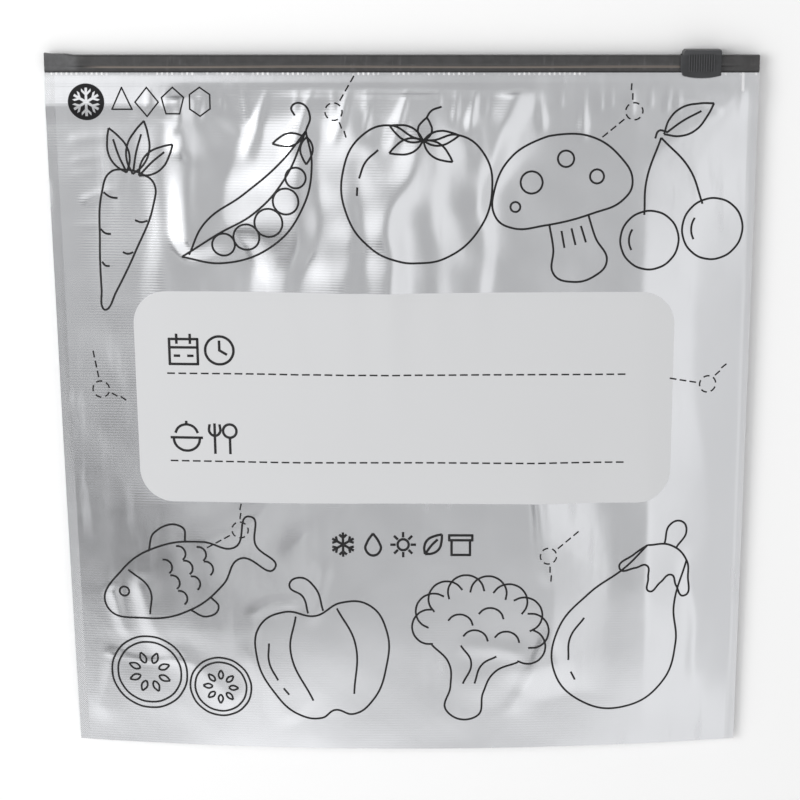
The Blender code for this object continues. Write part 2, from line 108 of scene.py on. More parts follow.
# Single folds: where the crest starts and ends, the width of the flank on its left and on its right
# and its height at those two ends, how soft its foot lines and its crest are, and its fades
FOLDS = {
    "right_tent": ((31, 90), (44, 126), (14, 6), (4, 9), (0.7, 1.1), (4, 2.5, 1.0, 2.0), (22, 2.5)),
    "ripple_one": ((13, 40), (11, 100), (4, 3), (5, 4), (0.4, 0.25), (2, 2, 2, 2), (24, 30)),
    "ripple_two": ((30, 40), (29, 104), (8, 6), (4, 4), (0.5, 0.35), (2.5, 2.5, 1.5, 1.5), (24, 28)),
    "limb_top": ((-84.5, 104), (-84.5, 122), (6, 6), (10, 8), (0.9, 1.1), (1.2, 0.8, 0.8, 3), (8, 3)),
    "corner_crease": ((-100, 116), (-87, 111.5), (3, 3), (3, 4), (0.15, 0.35),
                      (1, 0.6, 0.6, 1.5), (4, 3)),
    "dark_side": ((-93, -80), (-95, -38), (22, 20), (40, 40), (0.7, 0.7), (3, 3, 3, 5), (20, 16)),
    "corner_streak": ((-83, 117), (-66, 110), (5, 5), (4, 4), (0.4, 0.35), (1.5, 1, 1, 1.5), (4, 8)),
    "lower_right_break": ((62.5, -101), (54.5, -30), (42, 42), (20, 22), (1.6, 1.6),
                          (8, 0.8, 0.8, 2.5), (16, 44)),
    "gap_rise": ((96, -66), (96, -32), (14, 14), (30, 30), (0.4, 0.4), (1.5, 1, 1, 6), (18, 30)),
    "right_crease": ((119, -106), (115.5, -66), (4.5, 4.5), (9, 9), (0.45, 0.4),
                     (1, 0.8, 0.8, 3), (14, 14)),
    "chevron": ((-113.5, -86), (-117.5, -72), (4.5, 4), (3, 3), (0.15, 0.4),
                (1.5, 0.5, 0.5, 1), (7, 4)),
    "dimple_streak": ((-97, -97), (-107, -70), (6, 4), (10, 9), (0.3, 0.4),
                      (1.5, 1.2, 1.2, 4), (14, 8)),
    "streak_one": ((-80, -51), (-60, -38), (6, 6), (9, 9), (0.4, 0.45), (3, 1.5, 1.5, 4), (14, 14)),
    "streak_two": ((-40, -49), (-25, -36), (5, 5), (8, 8), (0.35, 0.4), (2, 1.5, 1.5, 3), (12, 12)),
    "ring_side": ((-37, -78), (-33, -64), (5, 5), (4, 4), (0.3, 0.4), (1.5, 1, 1, 1.5), (10, 10)),
    "ring_foot": ((-58, -79), (-46, -75), (4, 4), (4, 4), (0.25, 0.35), (1, 0.8, 0.8, 1), (8, 8)),
    "edge_line": ((-121, -102.2), (-92, -101.4), (1.6, 1.6), (1.6, 1.6), (0.12, 0.12),
                  (0.5, 0.5, 0.5, 0.5), (5, 5)),
    "corner_facet": ((-126, -122), (-119, -103), (6, 4), (8, 5), (0.3, 0.25),
                     (1.5, 0.6, 0.6, 2), (8, 5)),
    "low_facet": ((-72, -116), (-90, -99), (9, 6), (7, 7), (0.2, 0.15), (1.5, 0.6, 0.6, 2), (4, 8)),
    "low_facet_two": ((-47, -121), (-62, -101), (9, 8), (9, 9), (0.2, 0.15),
                      (1.5, 0.8, 0.8, 4), (6, 10)),
    "sliver": ((55, -60), (51, -36), (3, 3), (3.5, 3), (0.25, 0.4), (0.8, 0.8, 0.8, 0.8), (10, 10)),
    "slider_notch": ((104, 121.2), (120, 118.6), (1.4, 0.8), (1.0, 1.0), (0.3, 0.2),
                     (0.3, 0.3, 0.3, 0.5), (1, 2)),
    "low_streak": ((44, -116), (57, -94), (4, 3), (7, 7), (0.5, 0.45), (1, 1, 1, 3), (10, 8)),
    "low_streak_two": ((26, -93), (44, -96), (4, 4), (5, 5), (0.25, 0.3), (1.5, 1.5, 1.5, 1.5), (8, 8)),
}

# The drapes that hang from the zip, from left to right: the lines along which the film breaks,
# as (y, x) from the zip down, the height of the film there, and how soft the break is
DRAPES = [
    ([(126, -80), (104, -82), (74, -80), (40, -72)], (0.0, 0.0, 0.0, 0.0, 0.0), 3.0),
    ([(126, -57), (114, -62.5), (104, -66), (74, -68), (63, -56), (40, -58)],
     (0.0, -0.4, -1.2, -0.8, 0.0), 1.2),
    ([(126, -32), (114, -36), (100, -40.5), (78, -43), (54, -42.5)], (0.0, 1.0, 2.3, 2.4, 1.3), 1.8),
    ([(126, -28), (114, -29.5), (100, -31.5), (78, -34.5), (54, -38.7)], (0.0, 0.8, 1.5, 1.5, 0.9), 1.6),
    ([(126, -19), (100, -19.5), (78, -19.5), (54, -21.5)], (0.0, 1.4, 2.9, 3.6, 3.5), 2.2),
    ([(126, -5), (114, -8.5), (100, -16), (78, -16), (54, -14)], (0.0, 1.4, 2.9, 3.0, 3.0), 1.8),
    ([(126, 2), (114, 3), (100, 3), (89, 1), (78, -7), (66, -3), (54, -5)],
     (0.0, 2.0, 5.0, 4.8, 4.5), 2.0),
    ([(126, 6), (106, 10), (89, 6.5), (78, 3.5), (54, 3)], (0.0, 1.6, 4.0, 3.2, 2.6), 2.2),
    ([(126, 54), (106, 55), (100, 50), (89, 36), (54, 32)], (0.0, 0.0, 0.0, 0.8, 0.7), 4.0),
    ([(126, 92), (93, 90), (40, 90)], (0.0, 0.0, 0.0, 0.0, 0.0), 8.0),
]
DRAPE_LEVELS = (128, 116, 98, 76, 50)

# Small tents where the film is gathered under the zip: place, width at the foot, length, lean
TENTS = [
    (-96, 3.0, 5, 0.0), (-89, 2.5, 6, 0.1), (-75, 3.5, 8, 0.2), (-68, 3.0, 6, 0.0),
    (-60, 3.0, 8, -0.1), (-50.5, 8.0, 18, 0.35), (-40, 2.5, 7, 0.0), (-33.6, 7.0, 18, 0.4),
    (-26, 2.5, 8, 0.0), (-19.5, 6.0, 14, 0.35), (-13, 2.5, 6, 0.1), (-10.2, 3.0, 12, 0.25),
    (3.0, 8.0, 16, 0.35), (14, 2.0, 5, 0.0), (21.2, 3.5, 9, 0.1), (28.3, 4.5, 11, 0.2),
    (32.3, 2.5, 7, 0.1), (51.8, 4.5, 11, -0.1), (60, 2.0, 5, 0.0), (68.7, 4.5, 13, 0.0),
    (75, 2.5, 6, 0.0), (79, 2.0, 5, 0.0), (87, 3.0, 7, 0.0), (94, 2.0, 5, 0.0),
    (101, 2.5, 6, 0.1), (104.5, 2.0, 6, 0.0), (128.6, 1.7, 7.5, 0.0),
]

# Short tucks along the left seal: start, end, width, height
TUCKS = [
    ((-124, 107.6), (-113, 108.4), 2.6, 0.2), ((-124, 99.6), (-117, 100.6), 1.8, 0.15),
    ((-124, 94.2), (-119, 94.8), 1.6, 0.12), ((-121, 84.6), (-111, 88.2), 2.6, 0.22),
    ((-125, 74.2), (-117, 74.8), 1.7, 0.13),
]


def wander(x, y, seed, size, reach):
    """A smooth random sway, so that no crease runs dead straight."""
    rng = random.Random(seed)
    total = np.zeros_like(x)
    for _ in range(6):
        turn = rng.uniform(0.0, math.tau)
        length = size * rng.uniform(0.6, 1.7)
        phase = rng.uniform(0.0, math.tau)
        wave = (x * math.cos(turn) + y * math.sin(turn)) * math.tau / length
        total = total + np.sin(wave + phase)
    return total * reach / 2.4


def bent(y, rows, values):
    """From value to value down the bag, with each bend rounded over 12 mm."""
    steps = (-6.0, -3.0, 0.0, 3.0, 6.0)
    return sum(np.interp(y + step, rows[::-1], values[::-1]) for step in steps) / len(steps)


def drapes(x, y):
    """The drapes: straight from one break line to the next, and gone by the middle of the bag."""
    places = []
    heights = []
    for line, tall, _ in DRAPES:
        places.append(bent(y, [spot[0] for spot in line], [spot[1] for spot in line]))
        heights.append(bent(y, DRAPE_LEVELS, tall))
    form = np.zeros_like(x)
    before = 0.0
    for index, (_, _, soft) in enumerate(DRAPES):
        after = 0.0
        if index + 1 < len(DRAPES):
            after = (heights[index + 1] - heights[index]) / (places[index + 1] - places[index])
        form = form + (after - before) * ramp(x - places[index], soft)
        before = after
    return form * ease((y + 24.0) / 80.0)


def right_break(y):
    """Where the panel breaks towards the right seal: straight, then out towards the zip's end."""
    return 93.0 + 4.0 * ease((40.0 - y) / 80.0) + 33.0 * ease((y - 92.0) / 34.0) ** 1.3


def rim_middle(x, y):
    """Height of the film's edge plane above the table."""
    along = x / HALF_WIDTH
    up = np.clip((y - BOTTOM_CORNER) / (LIP_FOOT - BOTTOM_CORNER), 0.0, 1.0)
    bottom = 1.7 + 3.5 * (1.0 - along ** 2)
    side = (2.0 - 1.4 * along) * 4.0 * up * (1.0 - up) * along ** 2
    return bottom * (1.0 - up) + ZIP_MIDDLE * up + side


def edge_half(y):
    """Half the thickness at the film's edge: thin seals, and a thick lip over the zip's flange."""
    return 0.6 + 0.9 * ease((y - LIP_FOOT + 14.0) / 14.0)


def lip_slope(x, y):
    """The lip falls to the zip, then runs level, and at the left the film rolls up from it."""
    lip = 0.2 * np.clip(131.7 - y, 0.0, 2.9)
    level = 0.15 * np.clip(128.8 - y, 0.0, 2.6) * ease((-78.0 - x) / 16.0)
    roll = 0.2 * np.clip(126.2 - y, 0.0, 6.0)
    roll = roll * ease((-78.0 - x) / 14.0)
    return lip + (level + roll) * ease((y - 30.0) / 90.0)


def puff(x, y):
    """How far air pushes the printed panel up, from 0 at the edges to 1 on the flat middle."""
    left = climb(x + HALF_WIDTH - SEAL_WIDTH, 92.0, 1.1)
    edge = HALF_WIDTH - SEAL_WIDTH
    flank = np.clip((edge - x) / (edge - right_break(y)), 0.0, 3.0)
    low = ease((20.0 - y) / 60.0)
    bend = 0.5 - 0.2 * low
    foot = 0.65 - 0.23 * low
    flat = (1.0 - foot) / (1.0 - bend)
    right = foot / bend * flank - (foot / bend - flat) * ramp(flank - bend, 0.05)
    right = np.clip(right - flat * ramp(flank - 1.0, 0.03), 0.0, 1.0)
    top = climb(LIP_FOOT - y, 84.0, 1.25)
    middle = np.exp(-(((x - 34.0) / 58.0) ** 2))
    bottom = climb(y - BOTTOM_CORNER, 50.0 + 45.0 * middle, 1.2 + 0.3 * (1.0 - middle))
    return left * right * top * bottom


def shelf(x, y):
    """The raised shelf under the drapes, with a U-shaped edge at its left that opens to the right."""
    left = ease((x + 92.5 - 0.05 * (y - 90.0)) / 12.0)
    turn = np.clip(x + 74.0, 0.0, 60.0)
    foot = ease((y - 61.0 - 0.018 * np.minimum(x + 74.0, 0.0) ** 2 + 0.5 * turn) / (8.0 + 0.9 * turn))
    right = np.clip((60.0 - x) / 126.0, 0.0, 1.0)
    top = ease((124.0 - y) / 26.0)
    return SHELF_HEIGHT * left * foot * right * top


def film_top(x, y):
    """Height of the printed panel above the table."""
    held = rim_middle(x, y) + edge_half(y) + PUFF_HEIGHT * puff(x, y)
    calm = ease((LIP_FOOT - y) / 18.0)
    sway_x = x + wander(x, y, 3, 38.0, 1.6) * calm
    sway_y = y + wander(x, y, 5, 38.0, 1.6) * calm
    strip = STRIP_HEIGHT * ease((sway_x + 102.0) / 9.0) * ease((-60.0 - x) / 30.0) * ease((y + 20.0) / 60.0)
    folds = shelf(sway_x, sway_y) + strip * ease((118.0 - y) / 14.0)
    folds = folds + drapes(sway_x, sway_y)
    for fold in FOLDS.values():
        folds = folds + facet(sway_x, sway_y, *fold)
    tents = np.zeros_like(x)
    for place, width, length, lean in TENTS:
        foot = (place - lean * length, LIP_FOOT - length)
        tents = tents + facet(x, y, foot, (place, LIP_FOOT + 1.0), (width * 0.5, 0.5),
                              (width * 0.5, 0.5), (width * 0.085, 0.06), (0.5, 0.4, 0.4, 0.5),
                              fades=(length * 0.7, 1.5))
    for start, end, width, height in TUCKS:
        folds = folds + facet(x, y, start, end, (width, width), (width, width), (height, height * 0.6),
                              (0.6, 0.6, 0.6, 0.6), fades=(4, 4))
    loose = climb(HALF_WIDTH - np.abs(x) - SEAL_WIDTH, 12.0) * ease((LIP_FOOT - y) / 3.5)
    loose = loose * climb(y - BOTTOM_CORNER, 14.0)
    swell = wander(x, y, 11, 60.0, 0.12) + wander(x, y, 17, 26.0, 0.035)
    crumpled = ease((y - 44.0) / 20.0) * ease((x + 82.0) / 14.0) * ease((56.0 - x) / 30.0)
    swell = swell + wander(x, y, 19, 19.0, 0.11) * crumpled
    return held + (folds + swell) * loose + tents * ease((LIP_FOOT + 0.6 - y) / 1.2) + lip_slope(x, y)


def film_back(x, y):
    """Height of the back panel, which lies flat on the table but for its edges."""
    side = climb(HALF_WIDTH - SEAL_WIDTH - np.abs(x), 34.0, 2.0)
    top = climb(LIP_FOOT - y, 34.0, 2.0)
    bottom = climb(y - BOTTOM_CORNER, 34.0, 2.0)
    down = np.minimum(np.minimum(side, top), bottom)
    return (rim_middle(x, y) - edge_half(y)) * (1.0 - down)


def film_place(x, y):
    """Where a point of the flat film lies, seen from above."""
    down = 1.0 - (y - BOTTOM_CORNER) / (POUCH_TOP - BOTTOM_CORNER)
    bow = BOTTOM_BOW * (1.0 - (x / HALF_WIDTH) ** 2) * np.clip(down, 0.0, 1.0) ** 3
    draw = LEFT_DRAW * down * (0.5 - x / (2 * HALF_WIDTH))
    return x + draw, y - bow


# Making pieces

def corner_places(mesh):
    """The places of a mesh's corners, one row each."""
    spots = np.empty(len(mesh.vertices) * 3)
    mesh.vertices.foreach_get("co", spots)
    return spots.reshape(-1, 3)


def move_corners(mesh, x, y, z):
    """Move a mesh's corners to places in millimetres."""
    mesh.vertices.foreach_set("co", np.stack([x, y, z], axis=1).ravel() * MM)


def make_active(piece):
    """Select a piece and make it the active one."""
    piece.select_set(True)
    bpy.context.view_layer.objects.active = piece


def start_clean():
    """Deselect everything."""
    bpy.ops.object.select_all(action="DESELECT")


def build_film():
    """The bag's film: a fine grid for the printed panel, thickened to a coarser back panel."""
    start_clean()
    bpy.ops.mesh.primitive_grid_add(x_subdivisions=COLUMNS, y_subdivisions=ROWS, size=1.0)
    film = bpy.context.active_object
    film.name = "film_bag"
    film.data.name = "film_bag"
    thick = film.modifiers.new("two_panels", "SOLIDIFY")
    thick.thickness = PANEL_SPLIT
    thick.offset = -1.0
    bpy.ops.object.modifier_apply(modifier=thick.name)
    mesh = film.data
    spots = corner_places(mesh)
    is_front = spots[:, 2] > -PANEL_SPLIT / 2
    column = np.rint((spots[:, 0] + 0.5) * COLUMNS)
    row = np.rint((spots[:, 1] + 0.5) * ROWS)
    flat_x = -HALF_WIDTH + column * (2 * HALF_WIDTH / COLUMNS)
    flat_y = BOTTOM_CORNER + row * ((POUCH_TOP - BOTTOM_CORNER) / ROWS)
    place_x, place_y = film_place(flat_x, flat_y)
    height = np.where(is_front, film_top(flat_x, flat_y), film_back(flat_x, flat_y))
    move_corners(mesh, place_x, place_y, height)

    uv = mesh.uv_layers.new(name="panel")
    corner = np.empty(len(mesh.loops), dtype=np.int32)
    mesh.loops.foreach_get("vertex_index", corner)
    flat = np.stack([flat_x[corner], flat_y[corner]], axis=1) / 1000.0
    uv.data.foreach_set("uv", flat.astype(np.float32).ravel())
    face = mesh.attributes.new("printed_side", "FLOAT", "POINT")
    face.data.foreach_set("value", is_front.astype(np.float32))

    inner_x = (column > BACK_STEP) & (column < COLUMNS - BACK_STEP)
    inner_y = (row > BACK_STEP) & (row < ROWS - BACK_STEP)
    ends = np.empty(len(mesh.edges) * 2, dtype=np.int32)
    mesh.edges.foreach_get("vertices", ends)
    ends = ends.reshape(-1, 2)
    behind = ~is_front[ends].any(axis=1)
    inside = (inner_x & inner_y)[ends].all(axis=1)
    first, second = ends.T
    same_column = (column[first] == column[second]) & (column[first] % BACK_STEP != 0)
    same_row = (row[first] == row[second]) & (row[first] % BACK_STEP != 0)
    spare = behind & inside & (same_column | same_row)
    bpy.ops.object.mode_set(mode="EDIT")
    bpy.ops.mesh.select_mode(type="EDGE")
    bpy.ops.mesh.select_all(action="DESELECT")
    bpy.ops.object.mode_set(mode="OBJECT")
    mesh.edges.foreach_set("select", spare)
    bpy.ops.object.mode_set(mode="EDIT")
    bpy.ops.mesh.dissolve_edges(use_verts=True, use_face_split=False)
    bpy.ops.mesh.select_all(action="SELECT")
    bpy.ops.mesh.normals_make_consistent(inside=False)
    bpy.ops.object.mode_set(mode="OBJECT")
    bpy.ops.object.shade_smooth_by_angle(angle=math.radians(40))
    return film


def film_level(x, y):
    """Height of the film's own mesh at a place of the flat film, from its nearest grid corners."""
    column = np.clip((x + HALF_WIDTH) / (2 * HALF_WIDTH) * COLUMNS, 0, COLUMNS - 1e-6)
    row = np.clip((y - BOTTOM_CORNER) / (POUCH_TOP - BOTTOM_CORNER) * ROWS, 0, ROWS - 1e-6)
    left = np.floor(column)
    low = np.floor(row)
    step_x = 2 * HALF_WIDTH / COLUMNS
    step_y = (POUCH_TOP - BOTTOM_CORNER) / ROWS

    def corner(right, up):
        return film_top(-HALF_WIDTH + (left + right) * step_x, BOTTOM_CORNER + (low + up) * step_y)

    across = column - left
    along = row - low
    lower = corner(0, 0) * (1 - across) + corner(1, 0) * across
    upper = corner(0, 1) * (1 - across) + corner(1, 1) * across
    return lower * (1 - along) + upper * along


# Line drawings, in millimetres about their own middles: a stroke is (points, kind), and its kind
# is "open", "closed" or "straight"

def ring(x, y, radius, start=0.0, end=360.0):
    """A circle, or an arc between two angles in degrees."""
    whole = end - start >= 360.0
    count = max(4, round(12 * (end - start) / 360.0))
    steps = count if whole else count + 1
    points = []
    for step in range(steps):
        turn = math.radians(start + (end - start) * step / count)
        points.append((x + radius * math.cos(turn), y + radius * math.sin(turn)))
    return points, "closed" if whole else "open"


def leaf(x, y, length, turn, width, vein=True):
    """A pointed leaf from its foot, with a middle vein."""
    side = math.radians(turn)
    along = (math.cos(side), math.sin(side))
    across = (-along[1], along[0])

    def spot(far, off):
        return (
            x + along[0] * far * length + across[0] * off * width,
            y + along[1] * far * length + across[1] * off * width,
        )

    upper = [spot(0, 0), spot(0.22, 0.38), spot(0.5, 0.5), spot(0.8, 0.27), spot(1, 0)]
    lower = [spot(0, 0), spot(0.22, -0.38), spot(0.5, -0.5), spot(0.8, -0.27), spot(1, 0)]
    strokes = [(upper, "open"), (lower, "open")]
    if vein:
        strokes.append(([spot(0.05, 0), spot(0.4, 0.05), spot(0.75, 0)], "open"))
    return strokes


def mirrored(points):
    """The points of a right half and then of its mirror image, back to the start."""
    return points + [(-x, y) for x, y in reversed(points)]


def draw_tomato():
    """A tomato with a star of leaves."""
    body = mirrored([(3, 20), (12, 23), (22, 18), (27, 5), (24, -10), (14, -21), (3, -24.5)])
    strokes = [(body, "closed")]
    for turn in (-28, 15, 88, 165, 208):
        strokes += leaf(0, 19.5, 13 if turn != 88 else 8, turn, 5, vein=False)
    strokes.append(([(0, 27), (1.5, 30), (5, 32)], "open"))
    strokes.append(([(-21, 3), (-19.5, 9), (-15.5, 14)], "open"))
    strokes.append(([(-21, -3), (-21.2, -0.5)], "straight"))
    return strokes


def draw_pea_pod():
    """An open pea pod with five peas."""
    strokes = [
        ([(-36, -2), (-24, -14), (-4, -20), (16, -15), (30, -3), (36, 9)], "open"),
        ([(-36, -2), (-20, -3), (0, -5), (18, -1), (36, 9)], "open"),
        ([(-33, -3), (-20, 3.5), (0, 3.5), (20, 5), (36, 9)], "open"),
        ([(36, 9), (41, 13), (41, 19), (37, 20), (36, 16.5)], "open"),
    ]
    for x, y, radius in ((-19, -8, 4.6), (-9.5, -11, 5.3), (1.5, -11.5, 5.7), (12.5, -8.6, 5.2)):
        strokes.append(ring(x, y, radius))
    strokes.append(ring(21.5, -3.4, 4.1))
    strokes += leaf(34, 8, 13, 158, 5, vein=False)
    strokes += leaf(35, 7, 11, 232, 5, vein=False)
    return strokes


def draw_carrot():
    """A carrot with three fronds."""
    body = mirrored([(3.5, 23), (9, 20.5), (10.6, 12), (7.5, -8), (3, -27), (0.6, -35)])
    strokes = [(body, "closed")]
    for x, y, length in ((-10, 12, 6), (9.6, 5, 5), (-8.2, -3, 4.5), (6.6, -9, 4.2), (-5, -16, 3.4)):
        end = x + math.copysign(length, -x)
        strokes.append(([(x, y), ((x + end) / 2, y - 1.2), (end, y - 1.0)], "open"))
    strokes += leaf(0, 22, 22, 90, 9)
    strokes += leaf(-2.5, 22, 19, 124, 8)
    strokes += leaf(2.5, 22, 19, 56, 8)
    return strokes


def draw_mushroom():
    """A mushroom with a spotted cap."""
    cap = mirrored([(0.01, 24), (13, 21), (22.5, 11), (24.5, 1.5), (20, -3.5), (9, -5.5)])
    strokes = [(cap, "closed")]
    strokes.append(([(-7, -5.8), (-7.6, -14), (-9.5, -23), (-4, -27), (4, -27), (9.5, -23),
                     (7.6, -14), (7, -5.8)], "open"))
    for x, y, radius in ((-9.5, 10, 3.8), (4, 15, 2.8), (13, 6.5, 2.4), (-17, 3.2, 1.7)):
        strokes.append(ring(x, y, radius))
    for x in (-3.4, 0.2, 3.6):
        strokes.append(([(x, -9.0), (x * 1.1, -14.5)], "straight"))
    return strokes


def draw_cherries():
    """Two cherries on one stalk with a leaf."""
    strokes = [ring(-13, -14, 12.2), ring(13.5, -18, 12.8)]
    strokes.append(([(-12, -3.2), (-7, 10), (4, 25)], "open"))
    strokes.append(([(12.5, -6.6), (11.5, 9), (4, 25)], "open"))
    strokes.append(([(1.5, 25.5), (4, 28), (7, 26.5)], "open"))
    strokes += leaf(5.5, 26, 24, 14, 11)
    strokes.append(ring(-13, -14, 8.6, 130, 190))
    strokes.append(ring(13.5, -18, 9.0, 130, 190))
    return strokes


def draw_pepper():
    """A bell pepper."""
    body = [(-23, 14), (-27, 1), (-23, -15), (-15, -26), (-6, -29), (0, -26.5), (7, -29.5),
            (16, -25), (24, -12), (27, 3), (22, 15), (11, 18), (0, 14.5), (-12, 18)]
    strokes = [(body, "closed")]
    strokes.append(([(-8, 15.5), (-13, 1), (-8, -21)], "open"))
    strokes.append(([(9, 16), (13.5, 0), (9, -21)], "open"))
    strokes.append(([(-2.8, 16), (-3.5, 23), (-8, 28.5), (-3.5, 31), (2, 26), (3.4, 16)], "open"))
    strokes.append(([(-21, 6), (-22.5, -2), (-20.5, -10)], "open"))
    strokes.append(([(-18.8, -14), (-17.4, -16.6)], "straight"))
    return strokes


def draw_aubergine():
    """An aubergine with its cap."""
    body = [(-8, 26), (-12, 15), (-20, 1), (-24.5, -16), (-19, -31), (-5, -38), (11, -34), (20, -20),
            (18, -4), (11, 9), (8, 26)]
    strokes = [(body, "open")]
    strokes.append(([(-8, 26), (-11, 21), (-13.5, 14), (-8.5, 16.5), (-5, 19), (-2.5, 15), (0, 10.5),
                     (2.5, 15), (5, 19), (8.5, 16), (13, 13.5), (11, 21), (8, 26), (0, 29),
                     (-8, 26)], "open"))
    strokes.append(([(-2.4, 29), (-3.4, 36), (0, 38.5), (3.2, 36), (2.4, 29)], "open"))
    strokes.append(([(-17.5, -8), (-19, -17), (-16, -25)], "open"))
    strokes.append(([(-13, -29), (-10.6, -31)], "straight"))
    return strokes


def draw_slice():
    """A slice of cucumber."""
    strokes = [ring(0, 0, 14.5), ring(0, 0, 12.2)]
    for step in range(8):
        turn = 22.5 + 45.0 * step
        x = 3.8 * math.cos(math.radians(turn))
        y = 3.8 * math.sin(math.radians(turn))
        strokes += leaf(x, y, 4.6, turn, 2.2, vein=False)
    return strokes


def draw_fish():
    """A fish with scales."""
    body = [(-33, 0), (-20, 11.5), (-2, 14.5), (15, 9.5), (26, 2.5), (37, 11.5), (34, 0),
            (37, -11.5), (26, -2.5), (15, -9.5), (-2, -14), (-20, -10.5)]
    strokes = [(body, "closed"), ring(-23.5, 3, 1.9)]
    strokes.append(([(-18, 10.5), (-13.5, 0), (-18, -9.5)], "open"))
    strokes.append(([(-7, 14.2), (-1, 20.5), (10, 18), (8.5, 12.2)], "open"))
    strokes.append(([(-2, -14), (3, -19), (9, -17.5), (8, -12.2)], "open"))
    for x, y in ((-4, 6), (-4, -1), (-4, -8), (3.5, 9), (3.5, 2.5), (3.5, -4.5), (11, 5.5), (11, -1)):
        strokes.append(ring(x, y, 3.2, -75, 75))
    return strokes


def draw_broccoli():
    """A broccoli floret with a cut stem."""
    crown = []
    for step in range(9):
        turn = 192.0 - 204.0 * step / 8
        x = 19.5 * math.cos(math.radians(turn))
        y = 9 + 14.5 * math.sin(math.radians(turn))
        crown.append(ring(x, y, 7.0, turn - 98, turn + 98))
    strokes = crown
    for x, y in ((-8, 8), (3, 13), (11, 5), (-1, 3)):
        strokes.append(ring(x, y, 5.2, 20, 160))
    strokes.append(([(-17, -1), (-9, -7), (-6.5, -16), (-6, -26), (6, -26), (6.5, -16), (9, -7),
                     (17, -1)], "open"))
    strokes.append(([(-2, -14), (-0.6, -5), (-6, 1)], "open"))
    strokes.append(([(2.4, -13), (3.6, -5), (8.4, -0.5)], "open"))
    return strokes


def draw_trail():
    """A short dashed trail with a loop."""
    strokes = []
    for start in range(0, 360, 72):
        strokes.append(ring(0, 0, 3.6, start, start + 44))
    for far in (5.2, 9.4, 13.6):
        strokes.append(([(far, far * 0.35), (far + 2.4, (far + 2.4) * 0.35)], "straight"))
    for far in (5.0, 9.0):
        strokes.append(([(-far * 0.2, -far), (-(far + 2.4) * 0.24, -far - 2.2)], "straight"))
    return strokes


# Signs, drawn in a square of ten millimetres

def sign_calendar():
    """A calendar leaf."""
    strokes = [([(-5, -5), (5, -5), (5, 4), (-5, 4), (-5, -5)], "straight")]
    strokes.append(([(-5, 1), (5, 1)], "straight"))
    for x in (-2.4, 2.4):
        strokes.append(([(x, 2.6), (x, 5.6)], "straight"))
        strokes.append(([(x - 0.8, -2), (x + 0.8, -2)], "straight"))
    return strokes


def sign_clock():
    """A clock face without numbers."""
    return [ring(0, 0, 5), ([(0, 3.2), (0, 0), (2.4, -1.4)], "straight")]


def sign_bowl():
    """A covered bowl."""
    rim = [([(-5.5, 0), (5.5, 0)], "straight"), ring(0, 0, 4.8, 180, 360)]
    return rim + [ring(0, 0.6, 4.2, 15, 165), ([(0, 4.8), (0, 5.8)], "straight")]


def sign_fork():
    """A fork beside a spoon."""
    strokes = [([(-2.6, -5.5), (-2.6, 5)], "straight"), ([(2.8, -5.5), (2.8, 0)], "straight")]
    strokes.append(([(-4.4, 5), (-4.4, 2), (-2.6, 0.8), (-0.8, 2), (-0.8, 5)], "open"))
    return strokes + [ring(2.8, 2.6, 2.4)]


def sign_frost():
    """A six-armed ice crystal."""
    strokes = []
    for turn in range(0, 360, 60):
        side = math.radians(turn + 30)
        strokes.append(([(0, 0), (5 * math.cos(side), 5 * math.sin(side))], "straight"))
        for spread in (-48, 48):
            tip = side + math.radians(spread)
            foot = (3 * math.cos(side), 3 * math.sin(side))
            top = (foot[0] + 1.8 * math.cos(tip), foot[1] + 1.8 * math.sin(tip))
            strokes.append(([foot, top], "straight"))
    return strokes


def sign_drop():
    """A drop of water."""
    return [([(0, 5), (2.6, 1), (3.3, -2), (0, -4.8), (-3.3, -2), (-2.6, 1), (0, 5)], "open")]


def sign_sun():
    """A sun."""
    strokes = [ring(0, 0, 2.4)]
    for turn in range(0, 360, 45):
        side = math.radians(turn)
        foot = (3.6 * math.cos(side), 3.6 * math.sin(side))
        strokes.append(([foot, (5.2 * math.cos(side), 5.2 * math.sin(side))], "straight"))
    return strokes


def sign_leaf():
    """A leaf."""
    return leaf(-3.6, -4.2, 11.5, 50, 6.4)


def sign_box():
    """A box with a lid."""
    strokes = [([(-4, 2), (-4, -4.6), (4, -4.6), (4, 2)], "straight")]
    return strokes + [([(-5, 2), (5, 2), (5, 4.2), (-5, 4.2), (-5, 2)], "straight")]


def sign_shape(corners):
    """An upright outline with that many corners."""
    points = []
    for step in range(corners + 1):
        turn = math.radians(90 + 360 * step / corners)
        points.append((4.4 * math.cos(turn), 5.4 * math.sin(turn)))
    return [(points, "straight")]


# Widths of the printed lines, and how high and how round the ink stands on the film
INK_LIFT = 0.045
INK_ROUND = 0.035
LINE = 0.8
BOLD = 1.0
FINE = 0.6

